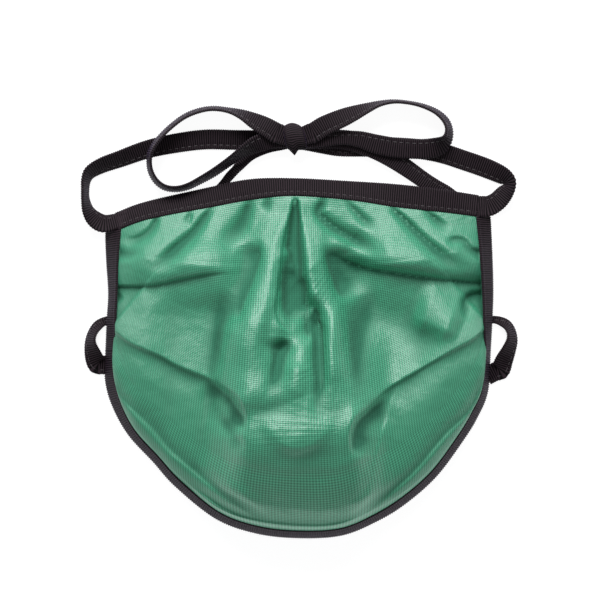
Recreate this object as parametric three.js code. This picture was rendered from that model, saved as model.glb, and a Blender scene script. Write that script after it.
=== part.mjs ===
// Face mask: a gathered cloth pouch with a bound edge, lying face up on its rim,
// with a bow of binding tape above it and a loop of tape at each side.
// Millimetres. +X to the right, +Y towards the top edge, +Z up from the surface it lies on.
// The origin is under the middle of the pouch and its bindings.
import * as THREE from 'three';

const CLOTH_THICKNESS = 1.2;
const BINDING_THICKNESS = 1.8;
const TIE_THICKNESS = 1.6;
const SEAM_GAP = 0.65;
const KNOT_HEIGHT = 8.6;
const KNOT_BEVEL = 0.8;
const OVERHANG = 2.6;
const OVERHANG_START = 0.82;
const SIDE_ROUNDNESS = 2.3;
const SIDE_FULLNESS = 0.85;
const COLUMNS = 46;
const ROWS = 36;

const GREEN = new THREE.MeshStandardMaterial({ color: 0x4f9a78, roughness: 0.55, metalness: 0 });
const BLACK = new THREE.MeshStandardMaterial({ color: 0x2e2629, roughness: 0.75, metalness: 0 });

// Each row of an edge table is one section of the binding: x, y, z on the cloth's edge,
// and rimX, rimY, rimZ on the binding's outer edge, both in the middle of the thickness.
const TOP_EDGE = [
  { x: -89.3, y: 64.0, z: 6.0, rimX: -92.0, rimY: 72.6, rimZ: 1.4 },
  { x: -74.7, y: 69.0, z: 7.6, rimX: -77.2, rimY: 78.0, rimZ: 1.5 },
  { x: -44.7, y: 74.6, z: 7.4, rimX: -46.7, rimY: 85.0, rimZ: 3.2 },
  { x: -23.2, y: 78.6, z: 6.8, rimX: -24.7, rimY: 89.4, rimZ: 3.0 },
  { x: -2.2, y: 80.6, z: 8.2, rimX: -2.2, rimY: 89.8, rimZ: 2.2 },
  { x: 25.2, y: 78.4, z: 7.4, rimX: 25.2, rimY: 88.4, rimZ: 2.0 },
  { x: 45.2, y: 75.1, z: 6.2, rimX: 46.2, rimY: 87.1, rimZ: 2.6 },
  { x: 61.2, y: 73.2, z: 6.2, rimX: 62.2, rimY: 85.4, rimZ: 3.6 },
  { x: 73.2, y: 72.0, z: 6.0, rimX: 74.2, rimY: 83.8, rimZ: 3.9 },
  { x: 88.4, y: 70.2, z: 5.0, rimX: 89.6, rimY: 81.4, rimZ: 1.8 },
];
const LEFT_EDGE = [
  { x: -89.3, y: 64.0, z: 6.0, rimX: -96.9, rimY: 62.4, rimZ: -0.6 },
  { x: -90.4, y: 50.0, z: 9.4, rimX: -96.5, rimY: 49.5, rimZ: -0.6 },
  { x: -91.0, y: 33.0, z: 11.2, rimX: -95.3, rimY: 32.5, rimZ: 1.6 },
  { x: -91.5, y: 18.8, z: 12.8, rimX: -96.0, rimY: 18.8, rimZ: 4.0 },
  { x: -91.3, y: 4.0, z: 10.8, rimX: -96.8, rimY: 3.4, rimZ: -0.5 },
];
const RIGHT_EDGE = [
  { x: 88.4, y: 70.2, z: 5.0, rimX: 95.5, rimY: 69.6, rimZ: -0.6 },
  { x: 90.2, y: 50.5, z: 9.2, rimX: 96.3, rimY: 50.5, rimZ: -0.6 },
  { x: 91.3, y: 33.0, z: 10.8, rimX: 96.6, rimY: 33.0, rimZ: 1.6 },
  { x: 91.8, y: 19.0, z: 12.8, rimX: 96.0, rimY: 19.0, rimZ: 4.0 },
  { x: 92.5, y: 4.0, z: 11.2, rimX: 95.2, rimY: 3.6, rimZ: -0.5 },
];
const BOTTOM_EDGE = [
  { x: -91.3, y: 4.0, z: 10.8, rimX: -96.8, rimY: 3.4, rimZ: -0.5 },
  { x: -91.0, y: -10.0, z: 10.4, rimX: -97.0, rimY: -11.0, rimZ: -0.5 },
  { x: -88.6, y: -22.0, z: 10.0, rimX: -93.4, rimY: -24.0, rimZ: -0.5 },
  { x: -81.6, y: -35.9, z: 9.9, rimX: -85.4, rimY: -38.3, rimZ: -0.5 },
  { x: -69.8, y: -49.2, z: 9.8, rimX: -73.0, rimY: -51.8, rimZ: -0.5 },
  { x: -58.8, y: -61.3, z: 9.8, rimX: -61.8, rimY: -64.2, rimZ: -0.5 },
  { x: -40.0, y: -76.4, z: 9.8, rimX: -42.0, rimY: -80.0, rimZ: -0.5 },
  { x: -21.6, y: -83.2, z: 9.8, rimX: -22.7, rimY: -87.2, rimZ: -0.5 },
  { x: -2.0, y: -85.7, z: 9.8, rimX: -2.2, rimY: -89.7, rimZ: -0.5 },
  { x: 20.0, y: -84.6, z: 9.8, rimX: 20.8, rimY: -88.5, rimZ: -0.5 },
  { x: 37.0, y: -77.8, z: 9.8, rimX: 39.2, rimY: -81.1, rimZ: -0.5 },
  { x: 51.0, y: -69.0, z: 9.8, rimX: 53.5, rimY: -72.2, rimZ: -0.5 },
  { x: 65.5, y: -56.2, z: 9.8, rimX: 68.4, rimY: -58.9, rimZ: -0.5 },
  { x: 77.8, y: -39.6, z: 9.9, rimX: 81.3, rimY: -41.6, rimZ: -0.5 },
  { x: 84.8, y: -28.0, z: 10.0, rimX: 88.6, rimY: -29.8, rimZ: -0.5 },
  { x: 90.4, y: -15.6, z: 10.6, rimX: 93.9, rimY: -16.6, rimZ: -0.5 },
  { x: 92.5, y: 4.0, z: 11.2, rimX: 95.2, rimY: 3.6, rimZ: -0.5 },
];

// How high the pouch rises over its edges along its middle, from the top edge (0) to the bottom (1).
const CROWN = [
  { down: 0.0, rise: 0.0 },
  { down: 0.13, rise: 6.0 },
  { down: 0.3, rise: 15.0 },
  { down: 0.5, rise: 25.5 },
  { down: 0.64, rise: 31.5 },
  { down: 0.73, rise: 33.0 },
  { down: 0.83, rise: 29.0 },
  { down: 0.91, rise: 20.0 },
  { down: 0.97, rise: 8.5 },
  { down: 1.0, rise: 0.0 },
];

// Valleys pressed into the pouch: x1, y1 to x3, y3 past x2, y2, half width at each end, and depth.
const FOLDS = [
  { name: 'centre pleat', x1: -2, y1: 78, x2: -3, y2: 45, x3: 2, y3: 4, width1: 3, width2: 7, depth: 4.6 },
  { name: 'left upper pleat', x1: -92, y1: 34, x2: -60, y2: 38, x3: -28, y3: 41, width1: 4, width2: 5, depth: 3.4 },
  { name: 'left lower pleat', x1: -92, y1: 12, x2: -48, y2: -4, x3: -25, y3: -30, width1: 4, width2: 5, depth: 3.6 },
  { name: 'right upper pleat', x1: 92, y1: 36, x2: 48, y2: 39, x3: 15, y3: 51, width1: 4, width2: 6, depth: 3.8 },
  { name: 'right lower pleat', x1: 92, y1: 13, x2: 52, y2: -6, x3: 26, y3: -46, width1: 4, width2: 6, depth: 4.0 },
  { name: 'left gather', x1: -27, y1: 78, x2: -34, y2: 60, x3: -72, y3: 42, width1: 4, width2: 5, depth: 2.4 },
  { name: 'right gather', x1: 12, y1: 78, x2: 16, y2: 64, x3: 44, y3: 52, width1: 4, width2: 5, depth: 2.6 },
  { name: 'right corner gather', x1: 46, y1: 75, x2: 62, y2: 56, x3: 84, y3: 44, width1: 4, width2: 4, depth: 2.0 },
];
const FOLD_STEPS = 60;

// Each row of a tape's route: x and y of its middle, lift of its lowest corner over the surface,
// lean in degrees of its right-hand edge upwards, seen along the route, and its width.
const TIE_LEFT_ROUTE = [
  { x: -91.7, y: 68.3, lift: 0.6, lean: -28, width: 8.8 },
  { x: -97.8, y: 67.2, lift: 0.1, lean: -22, width: 9.6 },
  { x: -102.2, y: 69.4, lift: 0, lean: -34, width: 10 },
  { x: -105.4, y: 73.6, lift: 0, lean: -56, width: 10 },
  { x: -106.8, y: 79.0, lift: 0, lean: -70, width: 10 },
  { x: -107.0, y: 84.0, lift: 0, lean: -72, width: 10 },
  { x: -106.5, y: 89.0, lift: 0, lean: -66, width: 10 },
  { x: -104.2, y: 93.0, lift: 0, lean: -52, width: 10 },
  { x: -98.2, y: 96.4, lift: 0, lean: -42, width: 10 },
  { x: -89.7, y: 99.4, lift: 0, lean: -36, width: 10 },
  { x: -76.2, y: 104.2, lift: 0, lean: -20, width: 9.6 },
  { x: -62.2, y: 107.3, lift: 0, lean: -6, width: 9.8 },
  { x: -47.2, y: 109.2, lift: 0, lean: 0, width: 10 },
  { x: -32.2, y: 109.0, lift: 0, lean: 0, width: 10 },
  { x: -18.7, y: 108.8, lift: 0, lean: 0, width: 10 },
  { x: -8.7, y: 108.9, lift: 0, lean: 0, width: 8.5 },
];
const TIE_RIGHT_ROUTE = [
  { x: 90.6, y: 75.7, lift: 0.7, lean: 16, width: 11 },
  { x: 94.6, y: 76.0, lift: 0.2, lean: 12, width: 10.6 },
  { x: 98.6, y: 78.2, lift: 0, lean: 12, width: 10 },
  { x: 102.0, y: 81.8, lift: 0, lean: 28, width: 10 },
  { x: 104.6, y: 85.4, lift: 0, lean: 52, width: 10 },
  { x: 104.4, y: 88.8, lift: 0, lean: 50, width: 10 },
  { x: 100.6, y: 91.6, lift: 0, lean: 28, width: 10 },
  { x: 92.5, y: 95.2, lift: 0, lean: 10, width: 10 },
  { x: 82.2, y: 98.8, lift: 0, lean: 6, width: 10 },
  { x: 71.7, y: 102.2, lift: 0, lean: 2, width: 10 },
  { x: 60.2, y: 104.4, lift: 0, lean: 0, width: 10 },
  { x: 46.2, y: 105.4, lift: 0, lean: 0, width: 10 },
  { x: 33.2, y: 105.6, lift: 0, lean: 0, width: 10 },
  { x: 20.2, y: 105.8, lift: 0, lean: 0, width: 10 },
  { x: 11.2, y: 107.0, lift: 0, lean: 0, width: 9.6 },
  { x: 4.2, y: 107.8, lift: 0, lean: 0, width: 8.5 },
];
const LOOP_LEFT_ROUTE = [
  { x: -9.5, y: 111.7, lift: 6.0, lean: -2, width: 8 },
  { x: -12.0, y: 112.6, lift: 6.0, lean: -6, width: 9 },
  { x: -16.4, y: 115.2, lift: 5.6, lean: -16, width: 10 },
  { x: -22.2, y: 118.2, lift: 3.6, lean: -36, width: 10 },
  { x: -28.4, y: 121.4, lift: 1.6, lean: -60, width: 10 },
  { x: -35.2, y: 123.6, lift: 0.4, lean: -76, width: 10 },
  { x: -43.2, y: 124.6, lift: 0, lean: -79, width: 10 },
  { x: -50.6, y: 123.4, lift: 0, lean: -78, width: 10 },
  { x: -57.7, y: 120.4, lift: 0.3, lean: -78, width: 10 },
  { x: -64.3, y: 115.4, lift: 2.0, lean: -78, width: 10 },
  { x: -69.8, y: 109.8, lift: 4.8, lean: -78, width: 10 },
  { x: -73.4, y: 104.6, lift: 5.2, lean: -78, width: 10 },
  { x: -74.9, y: 99.4, lift: 3.4, lean: -78, width: 10 },
  { x: -74.4, y: 93.6, lift: 1.0, lean: -78, width: 10 },
  { x: -71.6, y: 88.4, lift: 0.2, lean: -78, width: 10 },
  { x: -67.2, y: 85.2, lift: 0, lean: -78, width: 10 },
  { x: -61.6, y: 84.4, lift: 0, lean: -78, width: 10 },
  { x: -56.0, y: 85.6, lift: 0, lean: -76, width: 10 },
  { x: -50.6, y: 88.2, lift: 0, lean: -74, width: 10 },
  { x: -42.6, y: 92.8, lift: 0.4, lean: -70, width: 10 },
  { x: -34.8, y: 98.2, lift: 2.4, lean: -68, width: 10 },
  { x: -28.4, y: 102.8, lift: 3.8, lean: -60, width: 10 },
  { x: -21.6, y: 106.6, lift: 4.1, lean: -32, width: 9.6 },
  { x: -14.8, y: 108.6, lift: 4.1, lean: -6, width: 8.6 },
  { x: -8.9, y: 108.9, lift: 4.1, lean: 0, width: 8 },
];
const LOOP_RIGHT_ROUTE = [
  { x: 4.8, y: 111.9, lift: 6.0, lean: 0, width: 8 },
  { x: 7.4, y: 112.8, lift: 6.0, lean: 2, width: 9.4 },
  { x: 12.2, y: 115.8, lift: 5.9, lean: 6, width: 10 },
  { x: 20.4, y: 119.4, lift: 4.6, lean: 20, width: 10 },
  { x: 27.7, y: 122.4, lift: 3.0, lean: 42, width: 10 },
  { x: 34.2, y: 125.0, lift: 1.4, lean: 62, width: 10 },
  { x: 40.4, y: 127.1, lift: 0.4, lean: 76, width: 10 },
  { x: 47.4, y: 128.1, lift: 0, lean: 82, width: 10 },
  { x: 55.2, y: 127.4, lift: 0, lean: 83, width: 10 },
  { x: 62.2, y: 125.7, lift: 0, lean: 80, width: 10 },
  { x: 68.5, y: 122.8, lift: 0, lean: 76, width: 10 },
  { x: 72.8, y: 118.8, lift: 0.4, lean: 72, width: 10 },
  { x: 74.6, y: 114.2, lift: 1.2, lean: 70, width: 10 },
  { x: 73.8, y: 109.6, lift: 2.4, lean: 60, width: 10 },
  { x: 70.6, y: 106.4, lift: 2.8, lean: 34, width: 10 },
  { x: 65.6, y: 104.8, lift: 3.0, lean: 10, width: 10 },
  { x: 58.2, y: 104.4, lift: 3.9, lean: 2, width: 10 },
  { x: 48.2, y: 105.0, lift: 4.1, lean: 0, width: 10 },
  { x: 38.6, y: 106.8, lift: 4.1, lean: 0, width: 9.6 },
  { x: 30.2, y: 109.2, lift: 4.1, lean: 0, width: 8.2 },
  { x: 22.2, y: 110.0, lift: 4.1, lean: 0, width: 7 },
  { x: 13.2, y: 109.4, lift: 4.1, lean: 0, width: 7.4 },
  { x: 4.2, y: 108.9, lift: 4.1, lean: 0, width: 8 },
];
const TAIL_LEFT_ROUTE = [
  { x: -8.9, y: 107.6, lift: 2.0, lean: 0, width: 7.5 },
  { x: -14.0, y: 106.6, lift: 2.0, lean: -2, width: 7.5 },
  { x: -19.2, y: 104.4, lift: 2.1, lean: 0, width: 6.4 },
  { x: -24.6, y: 101.2, lift: 1.9, lean: 0, width: 5.4 },
  { x: -28.8, y: 97.4, lift: 0.3, lean: -10, width: 5.2 },
  { x: -32.0, y: 94.0, lift: 0, lean: -36, width: 5.2 },
  { x: -35.0, y: 90.8, lift: 0, lean: -16, width: 4.6 },
  { x: -37.8, y: 87.2, lift: 0, lean: -4, width: 4.4 },
  { x: -40.4, y: 83.2, lift: 0, lean: 0, width: 6 },
  { x: -42.6, y: 78.6, lift: 0, lean: 0, width: 9 },
  { x: -44.2, y: 73.4, lift: 0, lean: 0, width: 10 },
  { x: -45.0, y: 67.6, lift: 0, lean: 0, width: 10 },
  { x: -44.8, y: 61.6, lift: 0, lean: 0, width: 10 },
  { x: -43.8, y: 55.8, lift: 0, lean: 0, width: 10 },
  { x: -42.4, y: 51.0, lift: 0, lean: 0, width: 10 },
];
const TAIL_RIGHT_ROUTE = [
  { x: 4.2, y: 108.8, lift: 2.0, lean: 0, width: 8.5 },
  { x: 11.2, y: 109.2, lift: 2.0, lean: 0, width: 9 },
  { x: 19.2, y: 109.4, lift: 2.0, lean: 0, width: 9.4 },
  { x: 26.6, y: 108.4, lift: 2.0, lean: 0, width: 10 },
  { x: 33.6, y: 106.0, lift: 2.0, lean: 0, width: 10 },
  { x: 40.2, y: 103.2, lift: 2.0, lean: 0, width: 10 },
  { x: 46.2, y: 99.8, lift: 2.0, lean: 0, width: 9.6 },
  { x: 51.6, y: 96.2, lift: 1.9, lean: 0, width: 9 },
  { x: 56.8, y: 92.6, lift: 0.8, lean: 4, width: 8.6 },
  { x: 62.2, y: 88.8, lift: 0, lean: 4, width: 8.4 },
  { x: 67.6, y: 85.2, lift: 0, lean: 2, width: 8.6 },
  { x: 72.8, y: 81.6, lift: 0, lean: 0, width: 9.6 },
  { x: 77.4, y: 77.6, lift: 0, lean: 0, width: 10 },
];
const LOWER_TIE_ROUTE = [
  { x: -99.2, y: -3.4, lift: 0, lean: 2, width: 9.4 },
  { x: -101.2, y: -2.9, lift: 0, lean: 8, width: 9.8 },
  { x: -103.0, y: 1.4, lift: 0, lean: 30, width: 10 },
  { x: -104.3, y: 6.8, lift: 0, lean: 54, width: 10 },
  { x: -103.9, y: 11.0, lift: 0, lean: 60, width: 9 },
  { x: -102.0, y: 14.8, lift: 0, lean: 50, width: 7 },
  { x: -99.0, y: 17.6, lift: 0, lean: 20, width: 4.8 },
  { x: -95.4, y: 18.8, lift: 0, lean: 4, width: 4.6 },
  { x: -90.0, y: 19.0, lift: 0, lean: 0, width: 7 },
  { x: -80.0, y: 19.0, lift: 0, lean: 0, width: 10 },
  { x: -55.0, y: 19.0, lift: 0, lean: 0, width: 10 },
  { x: -28.0, y: 19.0, lift: 0, lean: 0, width: 10 },
  { x: 0.0, y: 19.0, lift: 0, lean: 0, width: 10 },
  { x: 28.0, y: 19.0, lift: 0, lean: 0, width: 10 },
  { x: 55.0, y: 19.0, lift: 0, lean: 0, width: 10 },
  { x: 80.0, y: 19.0, lift: 0, lean: 0, width: 10 },
  { x: 90.0, y: 19.2, lift: 0, lean: 0, width: 7 },
  { x: 95.6, y: 19.3, lift: 0, lean: 4, width: 4 },
  { x: 100.0, y: 18.6, lift: 0, lean: 24, width: 4.6 },
  { x: 103.8, y: 16.4, lift: 0, lean: 50, width: 7 },
  { x: 105.8, y: 12.8, lift: 0, lean: 60, width: 9 },
  { x: 106.0, y: 8.6, lift: 0, lean: 56, width: 10 },
  { x: 104.4, y: 3.8, lift: 0, lean: 44, width: 10 },
  { x: 102.2, y: -1.2, lift: 0, lean: 26, width: 10 },
  { x: 100.4, y: -5.8, lift: 0, lean: 8, width: 9.8 },
  { x: 97.9, y: -6.8, lift: 0, lean: 2, width: 9.4 },
];

// The knot's outline seen from above, with the pointed fold at its lower side.
const KNOT_OUTLINE = [
  { x: -8.2, y: 104.8 },
  { x: -8.2, y: 114.4 },
  { x: -5.8, y: 116.9 },
  { x: 1.0, y: 116.9 },
  { x: 3.4, y: 114.4 },
  { x: 3.4, y: 105.2 },
  { x: 1.0, y: 104.2 },
  { x: -2.5, y: 101.0 },
  { x: -6.0, y: 103.8 },
];

function curveThrough(rows, xKey, yKey, zKey) {
  const points = rows.map((row) => new THREE.Vector3(row[xKey], row[yKey], zKey ? row[zKey] : 0));
  return new THREE.CatmullRomCurve3(points, false, 'catmullrom', 0.5);
}

function smoothAlong(rows, key, place) {
  const spread = rows.map((row, index) => new THREE.Vector3(index, row[key], 0));
  return new THREE.CatmullRomCurve3(spread, false, 'catmullrom', 0.5).getPoint(place).y;
}

function solidOf(points, faces) {
  const geometry = new THREE.BufferGeometry();
  geometry.setAttribute('position', new THREE.Float32BufferAttribute(points.flatMap((p) => [p.x, p.y, p.z]), 3));
  let volume = 0;
  for (const [a, b, c] of faces) {
    volume += points[a].dot(new THREE.Vector3().crossVectors(points[b], points[c]));
  }
  geometry.setIndex(faces.flatMap(([a, b, c]) => (volume > 0 ? [a, b, c] : [a, c, b])));
  geometry.computeVertexNormals();
  return geometry;
}

// Joins sections of four corners each, one after another, and closes both ends.
function sweptSolid(sections) {
  const faces = [];
  for (let station = 0; station + 1 < sections.length; station += 1) {
    for (let corner = 0; corner < 4; corner += 1) {
      const a = station * 4 + corner;
      const b = station * 4 + ((corner + 1) % 4);
      faces.push([a, b, b + 4], [a, b + 4, a + 4]);
    }
  }
  const last = (sections.length - 1) * 4;
  faces.push([0, 2, 1], [0, 3, 2], [last, last + 1, last + 2], [last, last + 2, last + 3]);
  return solidOf(sections.flat(), faces);
}

// A flat band between the cloth's edge and the rim, with its foot cut level where it meets the surface.
function binding(rows, stations, from, to) {
  const inner = curveThrough(rows, 'x', 'y', 'z');
  const rim = curveThrough(rows, 'rimX', 'rimY', 'rimZ');
  const sections = [];
  for (let station = 0; station <= stations; station += 1) {
    const place = from + ((to - from) * station) / stations;
    const edge = inner.getPoint(place);
    const outer = rim.getPoint(place);
    const across = outer.clone().sub(edge).normalize();
    const along = inner.getTangent(place);
    const normal = new THREE.Vector3().crossVectors(along, across).normalize();
    if (normal.z < 0) normal.negate();
    const near = edge.clone().addScaledVector(across, SEAM_GAP);
    const half = BINDING_THICKNESS / 2;
    const corners = [
      near.clone().addScaledVector(normal, half),
      outer.clone().addScaledVector(normal, half),
      outer.clone().addScaledVector(normal, -half),
      near.clone().addScaledVector(normal, -half),
    ];
    for (const corner of corners) corner.z = Math.max(0, corner.z);
    sections.push(corners);
  }
  return sweptSolid(sections);
}

// A tape along its route, leaning about its own middle line and standing on its lowest corner.
function tape(rows, stepsPerRow) {
  const route = curveThrough(rows, 'x', 'y', null);
  const steps = (rows.length - 1) * stepsPerRow;
  const sections = [];
  for (let step = 0; step <= steps; step += 1) {
    const place = step / steps;
    const middle = route.getPoint(place);
    const along = route.getTangent(place);
    const lean = THREE.MathUtils.degToRad(smoothAlong(rows, 'lean', place));
    const half = smoothAlong(rows, 'width', place) / 2;
    const thin = TIE_THICKNESS / 2;
    const right = new THREE.Vector3(along.y, -along.x, 0).normalize();
    const across = right.clone().multiplyScalar(Math.cos(lean));
    across.z = Math.sin(lean);
    const normal = right.clone().multiplyScalar(-Math.sin(lean));
    normal.z = Math.cos(lean);
    const lift = Math.max(0, smoothAlong(rows, 'lift', place));
    middle.z = lift + half * Math.abs(Math.sin(lean)) + thin * Math.cos(lean);
    sections.push([[1, 1], [-1, 1], [-1, -1], [1, -1]].map(([side, face]) => {
      const corner = middle.clone().addScaledVector(across, side * half);
      return corner.addScaledVector(normal, face * thin);
    }));
  }
  return sweptSolid(sections);
}

function riseOver(down) {
  const next = Math.max(1, CROWN.findIndex((row) => row.down >= down));
  const share = (down - CROWN[next - 1].down) / (CROWN[next].down - CROWN[next - 1].down);
  return smoothAlong(CROWN, 'rise', (next - 1 + share) / (CROWN.length - 1));
}

function foldDepth(x, y) {
  let depth = 0;
  for (const fold of FOLDS) {
    let nearest = Infinity;
    let placeOfNearest = 0;
    for (let step = 0; step <= FOLD_STEPS; step += 1) {
      const t = step / FOLD_STEPS;
      const foldX = (1 - t) ** 2 * fold.x1 + 2 * t * (1 - t) * fold.x2 + t ** 2 * fold.x3;
      const foldY = (1 - t) ** 2 * fold.y1 + 2 * t * (1 - t) * fold.y2 + t ** 2 * fold.y3;
      const distance = Math.hypot(x - foldX, y - foldY);
      if (distance < nearest) {
        nearest = distance;
        placeOfNearest = t;
      }
    }
    const width = fold.width1 + (fold.width2 - fold.width1) * placeOfNearest;
    const fading = 1 - Math.abs(2 * placeOfNearest - 1) ** 4;
    depth += fold.depth * fading * Math.exp(-((nearest / width) ** 2));
  }
  return depth;
}

// The cloth's middle surface: a patch between its four edges, raised by the crown,
// pressed in along the folds, and swelling out a little over the bottom binding.
function clothPoint(edges, across, down) {
  const top = edges.top.getPointAt(across);
  const bottom = edges.bottom.getPointAt(across);
  const left = edges.left.getPointAt(down);
  const right = edges.right.getPointAt(down);
  const point = new THREE.Vector3();
  point.addScaledVector(top, 1 - down).addScaledVector(bottom, down);
  point.addScaledVector(left, 1 - across).addScaledVector(right, across);
  point.addScaledVector(edges.top.getPointAt(0), -(1 - across) * (1 - down));
  point.addScaledVector(edges.top.getPointAt(1), -across * (1 - down));
  point.addScaledVector(edges.bottom.getPointAt(0), -(1 - across) * down);
  point.addScaledVector(edges.bottom.getPointAt(1), -across * down);
  const side = Math.abs(2 * across - 1);
  const fullness = (1 - side ** SIDE_ROUNDNESS) ** SIDE_FULLNESS;
  const margin = Math.min(across, 1 - across, down, 1 - down) / 0.06;
  const inside = THREE.MathUtils.smoothstep(margin, 0, 1);
  point.z += riseOver(down) * fullness - foldDepth(point.x, point.y) * inside;
  const swell = THREE.MathUtils.clamp((down - OVERHANG_START) / (1 - OVERHANG_START), 0, 1);
  const outwards = new THREE.Vector3(point.x, point.y, 0).normalize();
  return point.addScaledVector(outwards, OVERHANG * Math.sin(Math.PI * swell) * fullness ** 0.5);
}

function maskBody() {
  const edges = {
    top: curveThrough(TOP_EDGE, 'x', 'y', 'z'),
    bottom: curveThrough(BOTTOM_EDGE, 'x', 'y', 'z'),
    left: curveThrough(LEFT_EDGE, 'x', 'y', 'z'),
    right: curveThrough(RIGHT_EDGE, 'x', 'y', 'z'),
  };
  const middle = [];
  for (let row = 0; row <= ROWS; row += 1) {
    for (let column = 0; column <= COLUMNS; column += 1) {
      middle.push(clothPoint(edges, column / COLUMNS, row / ROWS));
    }
  }
  const at = (row, column) => row * (COLUMNS + 1) + column;
  const near = (value, most) => Math.min(most, Math.max(0, value));
  const normals = middle.map((point, index) => {
    const row = Math.floor(index / (COLUMNS + 1));
    const column = index % (COLUMNS + 1);
    const acrossStep = middle[at(row, near(column + 1, COLUMNS))].clone()
      .sub(middle[at(row, near(column - 1, COLUMNS))]);
    const downStep = middle[at(near(row + 1, ROWS), column)].clone()
      .sub(middle[at(near(row - 1, ROWS), column)]);
    return new THREE.Vector3().crossVectors(downStep, acrossStep).normalize();
  });
  const half = CLOTH_THICKNESS / 2;
  const outer = middle.map((point, index) => point.clone().addScaledVector(normals[index], half));
  const inner = middle.map((point, index) => point.clone().addScaledVector(normals[index], -half));
  const count = middle.length;
  const faces = [];
  const quad = (a, b, c, d) => faces.push([a, b, c], [a, c, d]);
  for (let row = 0; row < ROWS; row += 1) {
    for (let column = 0; column < COLUMNS; column += 1) {
      const [a, b, c, d] = [at(row, column), at(row + 1, column), at(row + 1, column + 1), at(row, column + 1)];
      quad(a, b, c, d);
      quad(count + a, count + d, count + c, count + b);
    }
  }
  for (let column = 0; column < COLUMNS; column += 1) {
    const [a, b] = [at(0, column), at(0, column + 1)];
    quad(a, b, count + b, count + a);
    const [c, d] = [at(ROWS, column), at(ROWS, column + 1)];
    quad(d, c, count + c, count + d);
  }
  for (let row = 0; row < ROWS; row += 1) {
    const [a, b] = [at(row, 0), at(row + 1, 0)];
    quad(b, a, count + a, count + b);
    const [c, d] = [at(row, COLUMNS), at(row + 1, COLUMNS)];
    quad(c, d, count + d, count + c);
  }
  return solidOf([...outer, ...inner], faces);
}

function bowKnot() {
  const outline = new THREE.Shape(KNOT_OUTLINE.map((corner) => new THREE.Vector2(corner.x, corner.y)));
  const block = new THREE.ExtrudeGeometry(outline, {
    depth: KNOT_HEIGHT - 2 * KNOT_BEVEL,
    bevelSize: KNOT_BEVEL,
    bevelOffset: -KNOT_BEVEL,
    bevelThickness: KNOT_BEVEL,
    bevelSegments: 2,
  });
  return block.translate(0, 0, KNOT_BEVEL);
}

const mask = new THREE.Group();

function add(name, geometry, material) {
  const mesh = new THREE.Mesh(geometry, material.clone());
  mesh.name = name;
  mask.add(mesh);
}

add('mask_body', maskBody(), GREEN);
add('top_binding', binding(TOP_EDGE, 36, 0, 1), BLACK);
add('side_binding_left', binding(LEFT_EDGE, 20, 0.03, 0.995), BLACK);
add('side_binding_right', binding(RIGHT_EDGE, 20, 0.02, 0.995), BLACK);
add('bottom_binding', binding(BOTTOM_EDGE, 64, 0.004, 0.996), BLACK);
add('top_tie_left', tape(TIE_LEFT_ROUTE, 3), BLACK);
add('top_tie_right', tape(TIE_RIGHT_ROUTE, 3), BLACK);
add('bow_knot', bowKnot(), BLACK);
add('bow_loop_left', tape(LOOP_LEFT_ROUTE, 3), BLACK);
add('bow_loop_right', tape(LOOP_RIGHT_ROUTE, 3), BLACK);
add('tail_left', tape(TAIL_LEFT_ROUTE, 2), BLACK);
add('tail_right', tape(TAIL_RIGHT_ROUTE, 2), BLACK);
add('lower_tie', tape(LOWER_TIE_ROUTE, 2), BLACK);

export default mask;
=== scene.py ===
"""Face mask of green cloth with black ribbed tape, lying face up on its rim.

Metres. +X to the right, +Y towards the top edge and the bow, +Z up from the surface it lies on.
"""
import math

import bpy
import numpy as np
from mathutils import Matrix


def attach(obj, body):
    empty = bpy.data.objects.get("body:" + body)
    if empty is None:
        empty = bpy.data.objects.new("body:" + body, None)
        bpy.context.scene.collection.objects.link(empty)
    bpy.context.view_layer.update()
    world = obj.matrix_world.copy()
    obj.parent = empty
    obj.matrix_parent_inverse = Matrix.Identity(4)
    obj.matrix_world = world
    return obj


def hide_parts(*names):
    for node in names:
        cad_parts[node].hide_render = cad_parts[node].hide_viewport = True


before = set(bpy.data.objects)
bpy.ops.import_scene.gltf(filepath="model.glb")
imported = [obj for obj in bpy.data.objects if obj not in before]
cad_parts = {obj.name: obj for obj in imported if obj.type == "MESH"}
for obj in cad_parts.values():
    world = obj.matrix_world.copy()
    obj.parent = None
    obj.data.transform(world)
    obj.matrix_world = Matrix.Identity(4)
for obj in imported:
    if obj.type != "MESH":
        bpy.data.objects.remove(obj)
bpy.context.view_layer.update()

# Camera. It stands straight above the mask, as the photograph's did, far off with a long lens,
# and sees 300 mm of the ground from side to side.
CAMERA_PLACE = (0.00025, 0.0290, 3.0)
CAMERA_LENS = 360.0
SENSOR_WIDTH = 36.0

camera_data = bpy.data.cameras.new("overhead_camera")
camera_data.lens = CAMERA_LENS
camera_data.sensor_width = SENSOR_WIDTH
camera_data.clip_start = 0.1
camera_data.clip_end = 20.0
camera = bpy.data.objects.new("overhead_camera", camera_data)
camera.location = CAMERA_PLACE
bpy.context.collection.objects.link(camera)
bpy.context.scene.camera = camera

# Knot. One turn of the tape that holds the ties and the bow together, pulled tight over the strands, with
# the fold of its end showing as a point at the lower side. All the tape is black polyester with strong
# cross ribs.
RIB_PITCH = 0.00112

# Its middle, and how far it reaches: the upper side bulges at its middle, and the lower side has the point.
KNOT_HALF_WIDTH = 0.0055
KNOT_LEFT = -0.0022
KNOT_MIDDLE_Y = 0.1096
KNOT_HEIGHT = 0.0090
KNOT_UPWARDS = 0.0058
KNOT_BULGE = 0.0019
KNOT_BULGE_SPREAD = 0.85
KNOT_DOWNWARDS = 0.0056
KNOT_TIP = 0.0028
KNOT_TIP_PLACE = -0.34
KNOT_TIP_SPREAD = 0.42
KNOT_SLANT = -0.20

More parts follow.
